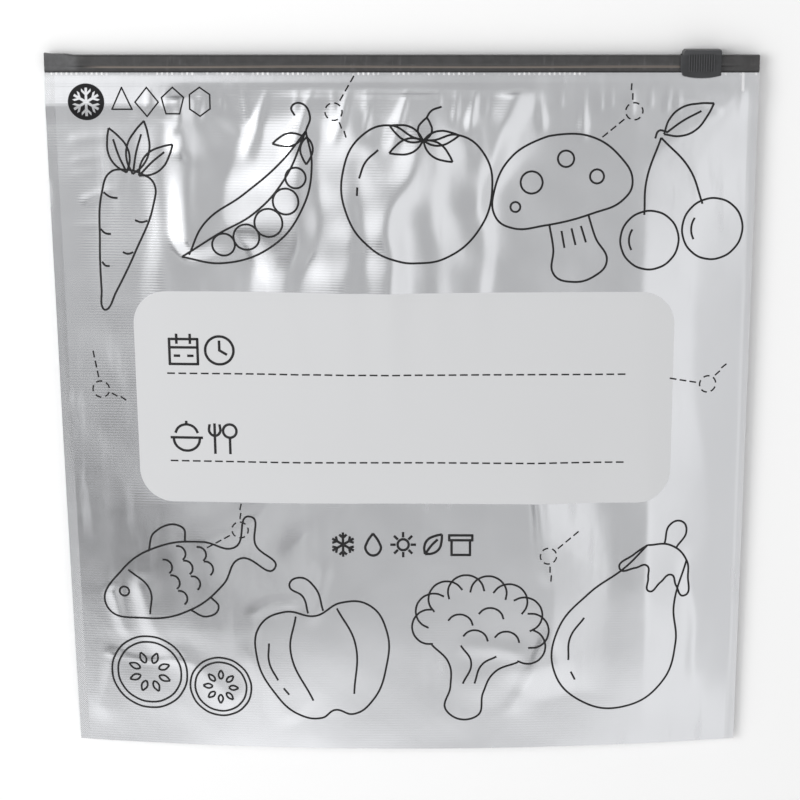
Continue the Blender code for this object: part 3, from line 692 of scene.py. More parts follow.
# The print: what is drawn, where its middle is, its turn in degrees, its size and its line
PICTURES = [
    (draw_carrot, (-108, 74), -14, 0.95, LINE),
    (draw_pea_pod, (-59, 84), 36, 0.94, LINE),
    (draw_tomato, (5, 87), -8, 1.06, LINE),
    (draw_mushroom, (62, 83), 14, 1.1, LINE),
    (draw_cherries, (102, 85), 18, 0.92, LINE),
    (draw_fish, (-91, -66), 24, 1.0, LINE),
    (draw_slice, (-105, -107), 0, 1.06, LINE),
    (draw_slice, (-76, -112), 20, 0.86, LINE),
    (draw_pepper, (-34, -95), 10, 1.0, LINE),
    (draw_broccoli, (28, -96), -12, 1.05, LINE),
    (draw_aubergine, (93, -82), -24, 1.1, LINE),
    (draw_trail, (-26, 118), 40, 0.9, FINE),
    (draw_trail, (88, 118), 200, 0.9, FINE),
    (draw_trail, (-119, 10), 80, 0.9, FINE),
    (draw_trail, (119, 12), 150, 0.9, FINE),
    (draw_trail, (-66, -46), 190, 0.9, FINE),
    (draw_trail, (57, -56), 20, 0.9, FINE),
    (sign_calendar, (-86, 26), 0, 1.1, BOLD),
    (sign_clock, (-72, 26), 0, 1.1, BOLD),
    (sign_bowl, (-86, -9), 0, 1.1, BOLD),
    (sign_fork, (-72, -9), 0, 1.1, BOLD),
    (sign_frost, (-25, -51.5), 0, 0.92, BOLD),
    (sign_drop, (-13, -51.5), 0, 0.92, BOLD),
    (sign_sun, (-1, -51.5), 0, 0.92, BOLD),
    (sign_leaf, (11, -51.5), 0, 0.92, BOLD),
    (sign_box, (22, -51.5), 0, 0.92, BOLD),
]

# The label's writing lines: height, start, end, and how long a dash is and how often it comes
RULES = [(16.8, -92.5, 90.7), (-18.4, -92.5, 90.7)]
DASH = 2.6
DASH_PITCH = 4.4


# The badge in the upper left corner, and the row of outlines beside it: corners and place
BADGE_X = -119.5
BADGE_Y = 121.6
BADGE_RADIUS = 6.9
ORNAMENTS = [(3, -106), (4, -96.6), (5, -86.8), (6, -76.6)]


def add_strokes(strokes, place, turn, size, line, lines):
    """Place a drawing's strokes on the flat film and keep them under their line's width."""
    cosine = math.cos(math.radians(turn)) * size
    sine = math.sin(math.radians(turn)) * size
    for points, kind in strokes:
        laid = []
        for x, y in points:
            laid.append((place[0] + x * cosine - y * sine, place[1] + x * sine + y * cosine))
        lines.setdefault(line, []).append((laid, kind))


def add_side(curve, start, end, line):
    """Add one straight side, a point to each millimetre and a little over at both ends."""
    length = math.hypot(end[0] - start[0], end[1] - start[1])
    over = 0.35 * line / length
    count = max(2, round(length) + 1)
    spline = curve.splines.new("POLY")
    spline.points.add(count - 1)
    for step, knot in enumerate(spline.points):
        way = -over + (1.0 + 2.0 * over) * step / (count - 1)
        x = start[0] + (end[0] - start[0]) * way
        y = start[1] + (end[1] - start[1]) * way
        knot.co = (x, y, 0.0, 1.0)


def draw_lines(name, strokes, line):
    """Turn strokes into flat bands of ink on the film."""
    start_clean()
    curve = bpy.data.curves.new(name, "CURVE")
    curve.dimensions = "3D"
    curve.twist_mode = "Z_UP"
    curve.bevel_depth = line / 2
    curve.bevel_resolution = 1
    curve.use_fill_caps = True
    curve.resolution_u = 12
    for points, kind in strokes:
        if kind == "straight":
            for start, end in zip(points, points[1:]):
                add_side(curve, start, end, line)
            continue
        spline = curve.splines.new("BEZIER")
        spline.bezier_points.add(len(points) - 1)
        for knot, spot in zip(spline.bezier_points, points):
            knot.co = (spot[0], spot[1], 0.0)
            knot.handle_left_type = "AUTO"
            knot.handle_right_type = "AUTO"
        spline.use_cyclic_u = kind == "closed"
    ink = bpy.data.objects.new(name, curve)
    bpy.context.scene.collection.objects.link(ink)
    make_active(ink)
    bpy.ops.object.convert(target="MESH")
    ink = bpy.context.active_object
    bpy.ops.object.mode_set(mode="EDIT")
    bpy.ops.mesh.select_all(action="SELECT")
    bpy.ops.mesh.remove_doubles(threshold=0.002)
    bpy.ops.mesh.normals_make_consistent(inside=False)
    bpy.ops.object.mode_set(mode="OBJECT")
    mesh = ink.data
    x, y, lift = corner_places(mesh).T
    place_x, place_y = film_place(x, y)
    height = film_level(x, y) + INK_LIFT + lift / (line / 2) * INK_ROUND
    move_corners(mesh, place_x, place_y, height)
    mesh.update()
    bpy.ops.object.shade_smooth()
    return ink


def build_print():
    """Every drawing, sign and writing line, as ink on the film."""
    lines = {}
    for draw, place, turn, size, line in PICTURES:
        add_strokes(draw(), place, turn, size, line, lines)
    for corners, x in ORNAMENTS:
        add_strokes(sign_shape(corners), (x, BADGE_Y), 0, 1.0, FINE, lines)
    for height, start, end in RULES:
        for step in range(int((end - start) / DASH_PITCH)):
            x = start + step * DASH_PITCH
            add_strokes([([(x, height), (x + DASH, height)], "straight")], (0, 0), 0, 1.0, FINE, lines)
    names = {LINE: "drawn_pictures", BOLD: "drawn_signs", FINE: "drawn_dashes"}
    return [draw_lines(names[line], strokes, line) for line, strokes in lines.items()]


# The zip

def select_edges(mesh, wanted):
    """Select, in edit mode, the edges whose two ends pass a test."""
    bpy.ops.mesh.select_mode(type="EDGE")
    bpy.ops.mesh.select_all(action="DESELECT")
    bpy.ops.object.mode_set(mode="OBJECT")
    for edge in mesh.edges:
        first, second = (mesh.vertices[index].co for index in edge.vertices)
        edge.select = wanted(first, second)
    bpy.ops.object.mode_set(mode="EDIT")


def add_outline(name, points, depth):
    """A prism over an outline of (across, along) points, from a circle that is pulled to them."""
    start_clean()
    bpy.ops.mesh.primitive_circle_add(vertices=len(points), radius=1.0, fill_type="NGON")
    piece = bpy.context.active_object
    piece.name = name
    piece.data.name = name
    for vertex, point in zip(piece.data.vertices, points):
        vertex.co = point
    bpy.ops.object.mode_set(mode="EDIT")
    bpy.ops.mesh.select_all(action="SELECT")
    bpy.ops.mesh.extrude_region_move(TRANSFORM_OT_translate={"value": depth})
    bpy.ops.mesh.select_all(action="SELECT")
    bpy.ops.mesh.normals_make_consistent(inside=False)
    return piece


RAIL_HALF = 1.6
STOP_LENGTH = 9.8
CRUSHED_HALF = 1.28
RAIL_CUTS = 179


def build_rails():
    """The two rails of the zip, shut, with their crushed ends and the strip that the film is on."""
    half = [
        (0.12, 0.9), (0.3, 0.0), (1.15, 0.0), (RAIL_HALF, 0.5), (RAIL_HALF, 3.2), (1.22, 3.75),
        (1.22, 4.05), (1.5, 4.35), (1.5, 5.2), (1.18, 5.5), (1.18, ZIP_HEIGHT), (0.28, ZIP_HEIGHT),
        (0.28, ZIP_HEIGHT + 5.6),
    ]
    section = half + [(-offset, drop) for offset, drop in reversed(half)]
    reach = HALF_WIDTH * MM
    points = [(-reach, (ZIP_TOP - drop) * MM, (ZIP_MIDDLE + off) * MM) for off, drop in section]
    rails = add_outline("zip_rails", points, (2 * reach, 0.0, 0.0))
    mesh = rails.data
    select_edges(mesh, lambda first, second: abs(first.x - second.x) > reach)
    bpy.ops.mesh.bevel(offset=0.13 * MM, segments=2, affect="EDGES")
    select_edges(mesh, lambda first, second: abs(first.x - second.x) > reach)
    bpy.ops.mesh.subdivide(number_cuts=RAIL_CUTS)
    bpy.ops.object.mode_set(mode="OBJECT")
    x, y, z = (corner_places(mesh) / MM).T.copy()
    drop = ZIP_TOP - y
    rail = ease((ZIP_HEIGHT + 0.4 - drop) / 0.6)
    crushed = ease((np.abs(x) - HALF_WIDTH + STOP_LENGTH) / 1.6) * rail
    left = crushed * (x < 0)
    dents = wander(x * 3.0, y * 5.0, 21, 9.0, 0.09) + wander(x * 3.0, z * 6.0, 23, 5.0, 0.05)
    flat = np.clip(z - ZIP_MIDDLE, -CRUSHED_HALF, CRUSHED_HALF)
    full = z - ZIP_MIDDLE
    squeezed = full + (flat * (1.0 + dents) - full) * crushed
    fill = np.sign(full) * np.clip(CRUSHED_HALF - np.abs(squeezed), 0.0, 1.0)
    squeezed = squeezed + fill * crushed * (np.abs(full) > 1.0)
    y = y + left * 0.42 * ease((3.0 - drop) / 3.0)
    y = y + 0.35 * left * ease((-HALF_WIDTH + 2.4 - x) / 1.6) * ease((1.4 - drop) / 1.0)
    y = y + wander(x, y, 29, 70.0, 0.05) * rail * (1.0 - crushed) * ease((drop - 3.4) / 1.0)
    squeezed = squeezed + wander(x, y * 0.2, 31, 46.0, 0.05) * rail * (1.0 - crushed)
    move_corners(mesh, x, y, ZIP_MIDDLE + squeezed)
    mesh.update()
    bpy.ops.object.shade_smooth_by_angle(angle=math.radians(32))
    return rails


SLIDER_X = 113.2
SLIDER_WIDTH = 14.4
SLIDER_TALL = 10.4
SLIDER_THICK = 6.6
SLIDER_BOW = 0.9
SLIDER_LIP = 1.0
GRIP_COUNT = 11
GRIP_PITCH = 0.94
GRIP_RISE = 0.35
GRIP_WIDTH = 0.42
GRIP_TALL = 6.5
GRIP_MIDDLE = 4.75               # above the slider's foot
CHANNEL_SIZE = (30.0, 30.4, 3.8)
CHANNEL_DROP = 15.0              # from the zip's top to the channel's middle


def build_slider():
    """The slider: a square saddle with a bulging foot, a low lip at its left and upright grips."""
    left = SLIDER_X - SLIDER_WIDTH / 2
    right = SLIDER_X + SLIDER_WIDTH / 2
    top = ZIP_TOP + SLIDER_ABOVE
    foot = top - SLIDER_TALL + SLIDER_BOW
    outline = [
        (right, top - 0.2), (right - 0.2, top), (left + 0.8, top), (left + 0.1, top - 0.7),
        (left - 0.1, top - 1.7), (left - SLIDER_LIP, top - 2.3), (left - SLIDER_LIP, foot + 1.7),
        (left - 0.3, foot + 1.0),
    ]
    for step in range(15):
        way = step / 14
        bulge = SLIDER_BOW * (1.0 - (2.0 * way - 1.0) ** 2)
        outline.append((left + SLIDER_WIDTH * way, foot - bulge))
    half = SLIDER_THICK / 2 - GRIP_RISE
    points = [(x * MM, y * MM, (ZIP_MIDDLE - half) * MM) for x, y in outline]
    slider = add_outline("zip_slider", points, (0.0, 0.0, 2 * half * MM))
    bpy.ops.object.mode_set(mode="OBJECT")

    start_clean()
    bpy.ops.mesh.primitive_cube_add(size=1.0, location=(SLIDER_X * MM, (ZIP_TOP - CHANNEL_DROP) * MM,
                                                        ZIP_MIDDLE * MM))
    channel = bpy.context.active_object
    channel.scale = [side * MM for side in CHANNEL_SIZE]
    bpy.ops.object.transform_apply(location=True, rotation=True, scale=True)
    cut = slider.modifiers.new("channel", "BOOLEAN")
    cut.object = channel
    start_clean()
    make_active(slider)
    bpy.ops.object.modifier_apply(modifier=cut.name)
    bpy.data.objects.remove(channel, do_unlink=True)
    round_off = slider.modifiers.new("rounded", "BEVEL")
    round_off.width = 0.16 * MM
    round_off.segments = 3
    round_off.limit_method = "ANGLE"
    round_off.angle_limit = math.radians(35)
    bpy.ops.object.modifier_apply(modifier=round_off.name)

    for face in (-1, 1):
        surface = (ZIP_MIDDLE + face * half) * MM
        for number in range(GRIP_COUNT):
            x = SLIDER_X - 0.3 + (number - (GRIP_COUNT - 1) / 2) * GRIP_PITCH
            start_clean()
            bpy.ops.mesh.primitive_cube_add(size=1.0)
            grip = bpy.context.active_object
            grip.scale = (GRIP_WIDTH * MM, GRIP_TALL * MM, 2 * GRIP_RISE * MM)
            grip.location = (x * MM, (foot + GRIP_MIDDLE) * MM, surface)
            bpy.ops.object.transform_apply(location=True, rotation=True, scale=True)
            bpy.ops.object.mode_set(mode="EDIT")
            bpy.ops.mesh.select_all(action="SELECT")
            bpy.ops.mesh.bevel(offset=0.14 * MM, segments=2, affect="EDGES")
            bpy.ops.object.mode_set(mode="OBJECT")
            make_active(slider)
            bpy.ops.object.join()
    bpy.ops.object.shade_smooth_by_angle(angle=math.radians(35))
    return slider


# Materials

def plain_material(name, colour, roughness, metallic=0.0):
    """Start a Principled material."""
    material = bpy.data.materials.new(name)
    material.use_nodes = True
    shader = material.node_tree.nodes["Principled BSDF"]
    shader.inputs["Base Color"].default_value = (*colour, 1.0)
    shader.inputs["Roughness"].default_value = roughness
    shader.inputs["Metallic"].default_value = metallic
    return material, shader


class Bench:
    """Short ways to add and join the nodes of one node tree."""

    def __init__(self, tree):
        self.tree = tree

    def add(self, kind, **settings):
        """Add a node."""
        made = self.tree.nodes.new(kind)
        for name, value in settings.items():
            setattr(made, name, value)
        return made

    def join(self, value, socket):
        """Link a socket, or set a plain value."""
        if isinstance(value, bpy.types.NodeSocket):
            self.tree.links.new(value, socket)
        elif value is not None:
            socket.default_value = value

    def math(self, operation, first, second=None, third=None):
        """A Math node's result."""
        made = self.add("ShaderNodeMath", operation=operation)
        for value, socket in zip((first, second, third), made.inputs):
            self.join(value, socket)
        return made.outputs[0]

    def times(self, first, second):
        """A product."""
        return self.math("MULTIPLY", first, second)

    def plus(self, first, second):
        """A sum."""
        return self.math("ADD", first, second)

    def reach(self, off_x, off_y):
        """How far a place lies from the middle."""
        return self.math("SQRT", self.plus(self.times(off_x, off_x), self.times(off_y, off_y)))

    def away(self, value, middle):
        """How far a number is from another."""
        return self.math("ABSOLUTE", self.math("SUBTRACT", value, middle))

    def band(self, value, low, high, start=0.0, end=1.0):
        """Go smoothly from start to end while the value goes from low to high."""
        made = self.add("ShaderNodeMapRange", interpolation_type="SMOOTHSTEP")
        self.join(value, made.inputs["Value"])
        made.inputs["From Min"].default_value = low
        made.inputs["From Max"].default_value = high
        made.inputs["To Min"].default_value = start
        made.inputs["To Max"].default_value = end
        return made.outputs[0]

    def mix(self, mask, first, second):
        """Mix two numbers."""
        made = self.add("ShaderNodeMix", data_type="FLOAT")
        self.join(mask, made.inputs[0])
        self.join(first, made.inputs[2])
        self.join(second, made.inputs[3])
        return made.outputs[0]

    def mix_colour(self, mask, first, second):
        """Mix two colours."""
        made = self.add("ShaderNodeMix", data_type="RGBA")
        self.join(mask, made.inputs[0])
        self.join((*first, 1.0) if isinstance(first, tuple) else first, made.inputs[6])
        self.join((*second, 1.0) if isinstance(second, tuple) else second, made.inputs[7])
        return made.outputs[2]

    def noise(self, vector, scale, detail=2.0, stretch=(1.0, 1.0, 1.0)):
        """Noise between 0 and 1, pulled out along the axes."""
        pull = self.add("ShaderNodeMapping")
        self.join(vector, pull.inputs["Vector"])
        pull.inputs["Scale"].default_value = stretch
        made = self.add("ShaderNodeTexNoise")
        self.join(pull.outputs[0], made.inputs["Vector"])
        made.inputs["Scale"].default_value = scale
        made.inputs["Detail"].default_value = detail
        return made.outputs["Fac"]


def new_group(name, inputs, outputs):
    """Start a shader node group with the named number inputs and outputs."""
    tree = bpy.data.node_groups.new(name, "ShaderNodeTree")
    for label, value in inputs.items():
        kind = "NodeSocketVector" if value is None else "NodeSocketFloat"
        socket = tree.interface.new_socket(name=label, in_out="INPUT", socket_type=kind)
        if value is not None:
            socket.default_value = value
    for label in outputs:
        tree.interface.new_socket(name=label, in_out="OUTPUT", socket_type="NodeSocketFloat")
    bench = Bench(tree)
    return bench, bench.add("NodeGroupInput").outputs, bench.add("NodeGroupOutput").inputs


def use_group(bench, tree, **values):
    """Place a node group in a material."""
    made = bench.add("ShaderNodeGroup", node_tree=tree)
    for label, value in values.items():
        bench.join(value, made.inputs[label])
    return made.outputs


def make_badge(bench, x, y):
    """A round badge with an ice crystal left bare in it: three bars, each with a barb at both ends."""
    far = bench.reach(x, y)
    disc = bench.band(far, BADGE_RADIUS + 0.12, BADGE_RADIUS - 0.12)
    bare = 0.0
    for turn in (30.0, 90.0, 150.0):
        cosine = math.cos(math.radians(turn))
        sine = math.sin(math.radians(turn))
        along = bench.math("ABSOLUTE", bench.plus(bench.times(x, cosine),
                                                  bench.times(y, sine)))
        across = bench.math("ABSOLUTE", bench.math("SUBTRACT", bench.times(x, -sine),
                                                   bench.times(y, -cosine)))
        bar = bench.times(bench.band(across, 0.55, 0.38), bench.band(along, 5.4, 5.2))
        slope = bench.math("ABSOLUTE", bench.math("SUBTRACT", bench.math("SUBTRACT", along, across),
                                                  2.7))
        barb = bench.times(bench.band(slope, 0.62, 0.42), bench.band(across, 1.9, 1.7))
        bare = bench.math("MAXIMUM", bare, bench.math("MAXIMUM", bar, barb))
    return bench.times(disc, bench.math("SUBTRACT", 1.0, bare))


def make_film_layout():
    """Masks of the flat film, from its UV map in metres: label, seals, lip, and the welded ticks and
    streak, whose highlights are painted as pale colour.
    """
    bench, given, out = new_group(
        "film_layout", {"Place": None, "Front": 1.0},
        ("Label", "Badge", "Seal", "Lip", "Weld Glints", "X", "Y"),
    )
    split = bench.add("ShaderNodeSeparateXYZ")
    bench.join(given["Place"], split.inputs[0])
    x = bench.times(split.outputs["X"], 1000.0)
    y = bench.times(split.outputs["Y"], 1000.0)
    over_x = bench.math("SUBTRACT", bench.math("ABSOLUTE", x), LABEL_HALF_X - LABEL_CORNER)
    from_middle = bench.away(y, LABEL_MIDDLE_Y)
    over_y = bench.math("SUBTRACT", from_middle, LABEL_HALF_Y - LABEL_CORNER)
    out_x = bench.math("MAXIMUM", over_x, 0.0)
    out_y = bench.math("MAXIMUM", over_y, 0.0)
    far = bench.reach(out_x, out_y)
    inside = bench.math("MINIMUM", bench.math("MAXIMUM", over_x, over_y), 0.0)
    distance = bench.plus(far, inside)
    label = bench.band(distance, LABEL_CORNER + 0.15, LABEL_CORNER - 0.15)
    bench.join(bench.times(label, given["Front"]), out["Label"])
    badge = make_badge(bench, bench.math("SUBTRACT", x, BADGE_X), bench.math("SUBTRACT", y, BADGE_Y))
    bench.join(bench.times(badge, given["Front"]), out["Badge"])
    bench.join(bench.band(bench.math("ABSOLUTE", x), HALF_WIDTH - SEAL_WIDTH - 1.2,
                          HALF_WIDTH - SEAL_WIDTH - 0.4), out["Seal"])
    bench.join(bench.band(y, LIP_FOOT + 1.6, LIP_FOOT + 2.6), out["Lip"])
    # Welded ticks under the zip and a welded streak at its right end: real welding, with its glint painted
    # on as pale matte colour, a painted highlight
    comb = bench.math("PINGPONG", bench.plus(x, 500.0), MARK_PITCH / 2)
    tick = bench.band(comb, MARK_PITCH * 0.24, MARK_PITCH * 0.36)
    row = bench.band(y, POUCH_TOP - 1.15, POUCH_TOP - 0.75)
    worn = bench.band(bench.noise(given["Place"], 260.0, 2.0), 0.35, 0.65)
    gone = bench.band(bench.away(x, 87.0), 16.0, 19.0)
    worn = bench.times(worn, gone)
    tick_glints = bench.times(bench.times(tick, row), worn)
    weld_glint = bench.band(bench.away(x, WELD_X), 0.75, 0.3)
    weld_glint = bench.times(weld_glint, bench.band(y, LIP_FOOT - 1.5, LIP_FOOT - 0.5, 0.0, 0.7))
    bench.join(bench.math("MAXIMUM", tick_glints, weld_glint), out["Weld Glints"])
    bench.join(x, out["X"])
    bench.join(y, out["Y"])
    return bench.tree


def make_film_relief():
    """Fine relief of the film, in metres: its pressed ribs, small dents and the seals' cross ribs."""
    bench, given, out = new_group(
        "film_relief",
        {"Place": None, "X": 0.0, "Y": 0.0, "Seal": 0.0, "Rib Depth": 0.0, "Dent Depth": 0.0},
        ("Height",),
    )
    rib = bench.math("SINE", bench.times(given["Y"], math.tau / RIB_PITCH))
    patch = bench.band(bench.noise(given["Place"], 22.0, 2.0), 0.3, 0.7, 0.25, 1.0)
    ribs = bench.times(bench.times(rib, patch), given["Rib Depth"])
    dents = bench.math("SUBTRACT", bench.noise(given["Place"], 110.0, 3.0, (1.0, 0.8, 1.0)), 0.5)
    dents = bench.times(dents, given["Dent Depth"])
    weave = bench.math("SINE", bench.times(bench.plus(given["X"], given["Y"]),
                                          math.tau / 0.9))
    weave = bench.times(bench.times(weave, given["Seal"]), 0.00001)
    bench.join(bench.plus(bench.plus(ribs, dents), weave), out["Height"])
    return bench.tree


def make_scuffs():
    """Where handling has dulled a surface: broken streaks, from 0 to 1."""
    bench, given, out = new_group("scuffs", {"Place": None, "Scale": 1.0}, ("Mask",))
    grown = bench.add("ShaderNodeVectorMath", operation="SCALE")
    bench.join(given["Place"], grown.inputs[0])
    bench.join(given["Scale"], grown.inputs["Scale"])
    streaks = bench.noise(grown.outputs[0], 160.0, 3.0, (1.0, 0.16, 1.0))
    patches = bench.noise(grown.outputs[0], 18.0, 2.0)
    mask = bench.times(bench.band(streaks, 0.5, 0.7), bench.band(patches, 0.42, 0.7))
    bench.join(mask, out["Mask"])
    return bench.tree


LABEL_HALF_X = 105.0
LABEL_HALF_Y = 41.95
LABEL_MIDDLE_Y = 7.15
LABEL_CORNER = 13.0
RIB_PITCH = 1.07
MARK_PITCH = 1.9
WELD_X = 128.9
FOIL = (0.835, 0.845, 0.87)
SEALED = (0.80, 0.808, 0.83)
LABEL_INK = (0.655, 0.66, 0.67)
BLACK_INK = (0.012, 0.012, 0.013)


def make_foil(layout, relief, scuffs):
    """The bag's film: silver, finely ribbed, with the matte label printed on it."""
    material, shader = plain_material("ribbed_foil", FOIL, 0.2, 1.0)
    shader.inputs["Specular IOR Level"].default_value = 0.2
    bench = Bench(material.node_tree)
    place = bench.add("ShaderNodeUVMap", uv_map="panel").outputs[0]
    front = bench.add("ShaderNodeAttribute", attribute_name="printed_side").outputs["Fac"]
    masks = use_group(bench, layout, Place=place, Front=front)
    wear_and_sheen = use_group(bench, scuffs, Place=place, Scale=1.0)["Mask"]
    colour = bench.mix_colour(masks["Seal"], FOIL, SEALED)
    colour = bench.mix_colour(bench.times(wear_and_sheen, 0.25), colour, (0.70, 0.71, 0.73))
    # Painted highlights: the welded ticks and streak turn pale, near-white and matte
    colour = bench.mix_colour(masks["Weld Glints"], colour, (0.93, 0.93, 0.94))
    colour = bench.mix_colour(masks["Label"], colour, LABEL_INK)
    colour = bench.mix_colour(masks["Badge"], colour, BLACK_INK)
    bench.join(colour, shader.inputs["Base Color"])
    metal = bench.mix(bench.times(masks["Weld Glints"], 0.85), 1.0, 0.0)
    metal = bench.mix(masks["Badge"], metal, 0.0)
    bench.join(bench.mix(masks["Label"], metal, 0.0), shader.inputs["Metallic"])
    cloud = bench.noise(place, 60.0, 3.0)
    rough = bench.math("MULTIPLY_ADD", cloud, 0.08, 0.17)
    rough = bench.math("MULTIPLY_ADD", wear_and_sheen, 0.10, rough)
    rough = bench.mix(masks["Label"], rough, bench.math("MULTIPLY_ADD", cloud, 0.1, 0.42))
    bench.join(rough, shader.inputs["Roughness"])
    ribs = bench.mix(masks["Label"], 0.0000065, 0.000002)
    ribs = bench.times(ribs, bench.mix(masks["Lip"], 1.0, 0.2))
    ribs = bench.times(ribs, bench.band(masks["Y"], -90.0, 20.0, 0.3, 1.0))
    height = use_group(bench, relief, **{
        "Place": place, "X": masks["X"], "Y": masks["Y"], "Seal": masks["Seal"],
        "Rib Depth": ribs, "Dent Depth": bench.mix(masks["Label"], 0.00005, 0.00002),
    })["Height"]
    bump = bench.add("ShaderNodeBump")
    bump.inputs["Distance"].default_value = 1.0
    bench.join(height, bump.inputs["Height"])
    evened = bench.add("ShaderNodeMix", data_type="VECTOR")
    bench.join(bench.times(masks["Label"], 0.75), evened.inputs["Factor"])
    bench.join(bump.outputs[0], evened.inputs[4])
    evened.inputs[5].default_value = (0.0, 0.0, 1.0)
    bench.join(evened.outputs[1], shader.inputs["Normal"])
    return material


def make_ink(scuffs):
    """Black printing ink, a little uneven."""
    material, shader = plain_material("black_ink", BLACK_INK, 0.5)
    shader.inputs["Specular IOR Level"].default_value = 0.3
    bench = Bench(material.node_tree)
    place = bench.add("ShaderNodeTexCoord").outputs["Object"]
    wear_and_sheen = use_group(bench, scuffs, Place=place, Scale=2.0)["Mask"]
    colour = bench.mix_colour(bench.times(wear_and_sheen, 0.5), BLACK_INK, (0.04, 0.04, 0.042))
    bench.join(colour, shader.inputs["Base Color"])
    bench.join(bench.math("MULTIPLY_ADD", bench.noise(place, 900.0), 0.2, 0.42),
               shader.inputs["Roughness"])
    return material


def make_plastic(name, colour, scuffs, grain, depth, roughness):
    """Moulded plastic: fine grain, slight mottling and rubbed streaks."""
    material, shader = plain_material(name, colour, roughness)
    bench = Bench(material.node_tree)
    place = bench.add("ShaderNodeTexCoord").outputs["Object"]
    wear_and_sheen = use_group(bench, scuffs, Place=place, Scale=4.0)["Mask"]
    mottle = bench.noise(place, 240.0, 3.0)
    light = tuple(min(1.0, part * 1.5 + 0.01) for part in colour)
    dark = tuple(part * 0.8 for part in colour)
    shade = bench.mix_colour(bench.band(mottle, 0.35, 0.65), dark, colour)
    shade = bench.mix_colour(bench.times(wear_and_sheen, 0.6), shade, light)
    bench.join(shade, shader.inputs["Base Color"])
    bench.join(bench.math("MULTIPLY_ADD", mottle, 0.16, roughness - 0.08),
               shader.inputs["Roughness"])
    bump = bench.add("ShaderNodeBump")
    bump.inputs["Distance"].default_value = 1.0
    bench.join(bench.times(bench.noise(place, grain, 2.0), depth), bump.inputs["Height"])
    bench.join(bump.outputs[0], shader.inputs["Normal"])
    return material, bench, shader, shade


def make_rail_plastic(scuffs):
    """The rails' plastic: a pale line painted low along them as the highlight of their groove, a painted
    shade line under their lower step, and a paler crushed left end.
    """
    material, bench, shader, shade = make_plastic(
        "rail_plastic", (0.053, 0.0515, 0.052), scuffs, 1500.0, 0.00002, 0.36
    )
    split = bench.add("ShaderNodeSeparateXYZ")
    bench.join(bench.add("ShaderNodeTexCoord").outputs["Object"], split.inputs[0])
    x = bench.times(split.outputs["X"], 1000.0)
    drop = bench.math("MULTIPLY_ADD", split.outputs["Y"], -1000.0, ZIP_TOP)
    # Painted highlight: a pale brownish line where the groove's lower slope faces the light, fading towards
    # the rails' ends
    sway = bench.math("SINE", bench.times(x, 0.05))
    line = bench.math("ABSOLUTE", bench.math("SUBTRACT", drop,
                                             bench.math("MULTIPLY_ADD", sway, 0.08, 4.35)))
    groove_highlight = bench.band(line, 0.5, 0.28)
    groove_highlight = bench.times(groove_highlight, bench.band(bench.math("ABSOLUTE", x), 122.0, 112.0))
    shade = bench.mix_colour(bench.times(groove_highlight, 0.85), shade, (0.20, 0.172, 0.15))
    ends = bench.band(x, -121.0, -124.0)
    spots = bench.band(bench.noise(bench.add("ShaderNodeTexCoord").outputs["Object"], 420.0, 3.0),
                       0.34, 0.66, 0.65, 1.0)
    shade = bench.mix_colour(bench.times(ends, spots), shade, (0.096, 0.096, 0.099))
    # Painted shade: a darker line under the rails' lower step
    foot = bench.band(drop, 5.35, 5.6)
    shade = bench.mix_colour(bench.times(foot, 0.4), shade, (0.03, 0.03, 0.031))
    bench.join(shade, shader.inputs["Base Color"])
    return material


def make_slider_plastic(scuffs):
    """The slider's plastic, with a painted highlight that makes its grips' crests and its top band paler.
    """
    material, bench, shader, shade = make_plastic(
        "slider_plastic", (0.032, 0.033, 0.036), scuffs, 2600.0, 0.00002, 0.46
    )
    split = bench.add("ShaderNodeSeparateXYZ")
    bench.join(bench.add("ShaderNodeTexCoord").outputs["Object"], split.inputs[0])
    out = bench.math("ABSOLUTE", bench.math("MULTIPLY_ADD", split.outputs["Z"], 1000.0, -ZIP_MIDDLE))
    drop = bench.math("MULTIPLY_ADD", split.outputs["Y"], -1000.0, ZIP_TOP + SLIDER_ABOVE)
    # Painted highlight: the grips' crests and the top band are made paler
    crest = bench.band(out, SLIDER_THICK / 2 - 0.2, SLIDER_THICK / 2)
    wear_and_sheen = bench.math("MAXIMUM", crest, bench.band(drop, 1.9, 1.6))
    shade = bench.mix_colour(bench.times(wear_and_sheen, 0.6), shade, (0.065, 0.066, 0.07))
    bench.join(shade, shader.inputs["Base Color"])
    return material


# The studio, in metres
SENSOR = 36.0
LENS = 2326.6 / 800 * SENSOR
CAMERA_PLACE = (-0.0007, 0.2326, 0.886)
AIM_Y = 0.0036
FLOOR_SIZE = 6.0
FLOOR_DROP = 0.0002
KEY_PLACE = (-0.75, 0.15, 0.75)
KEY_SIZE = 0.6
KEY_ENERGY = 4.7
FILL_LIGHT = 0.46


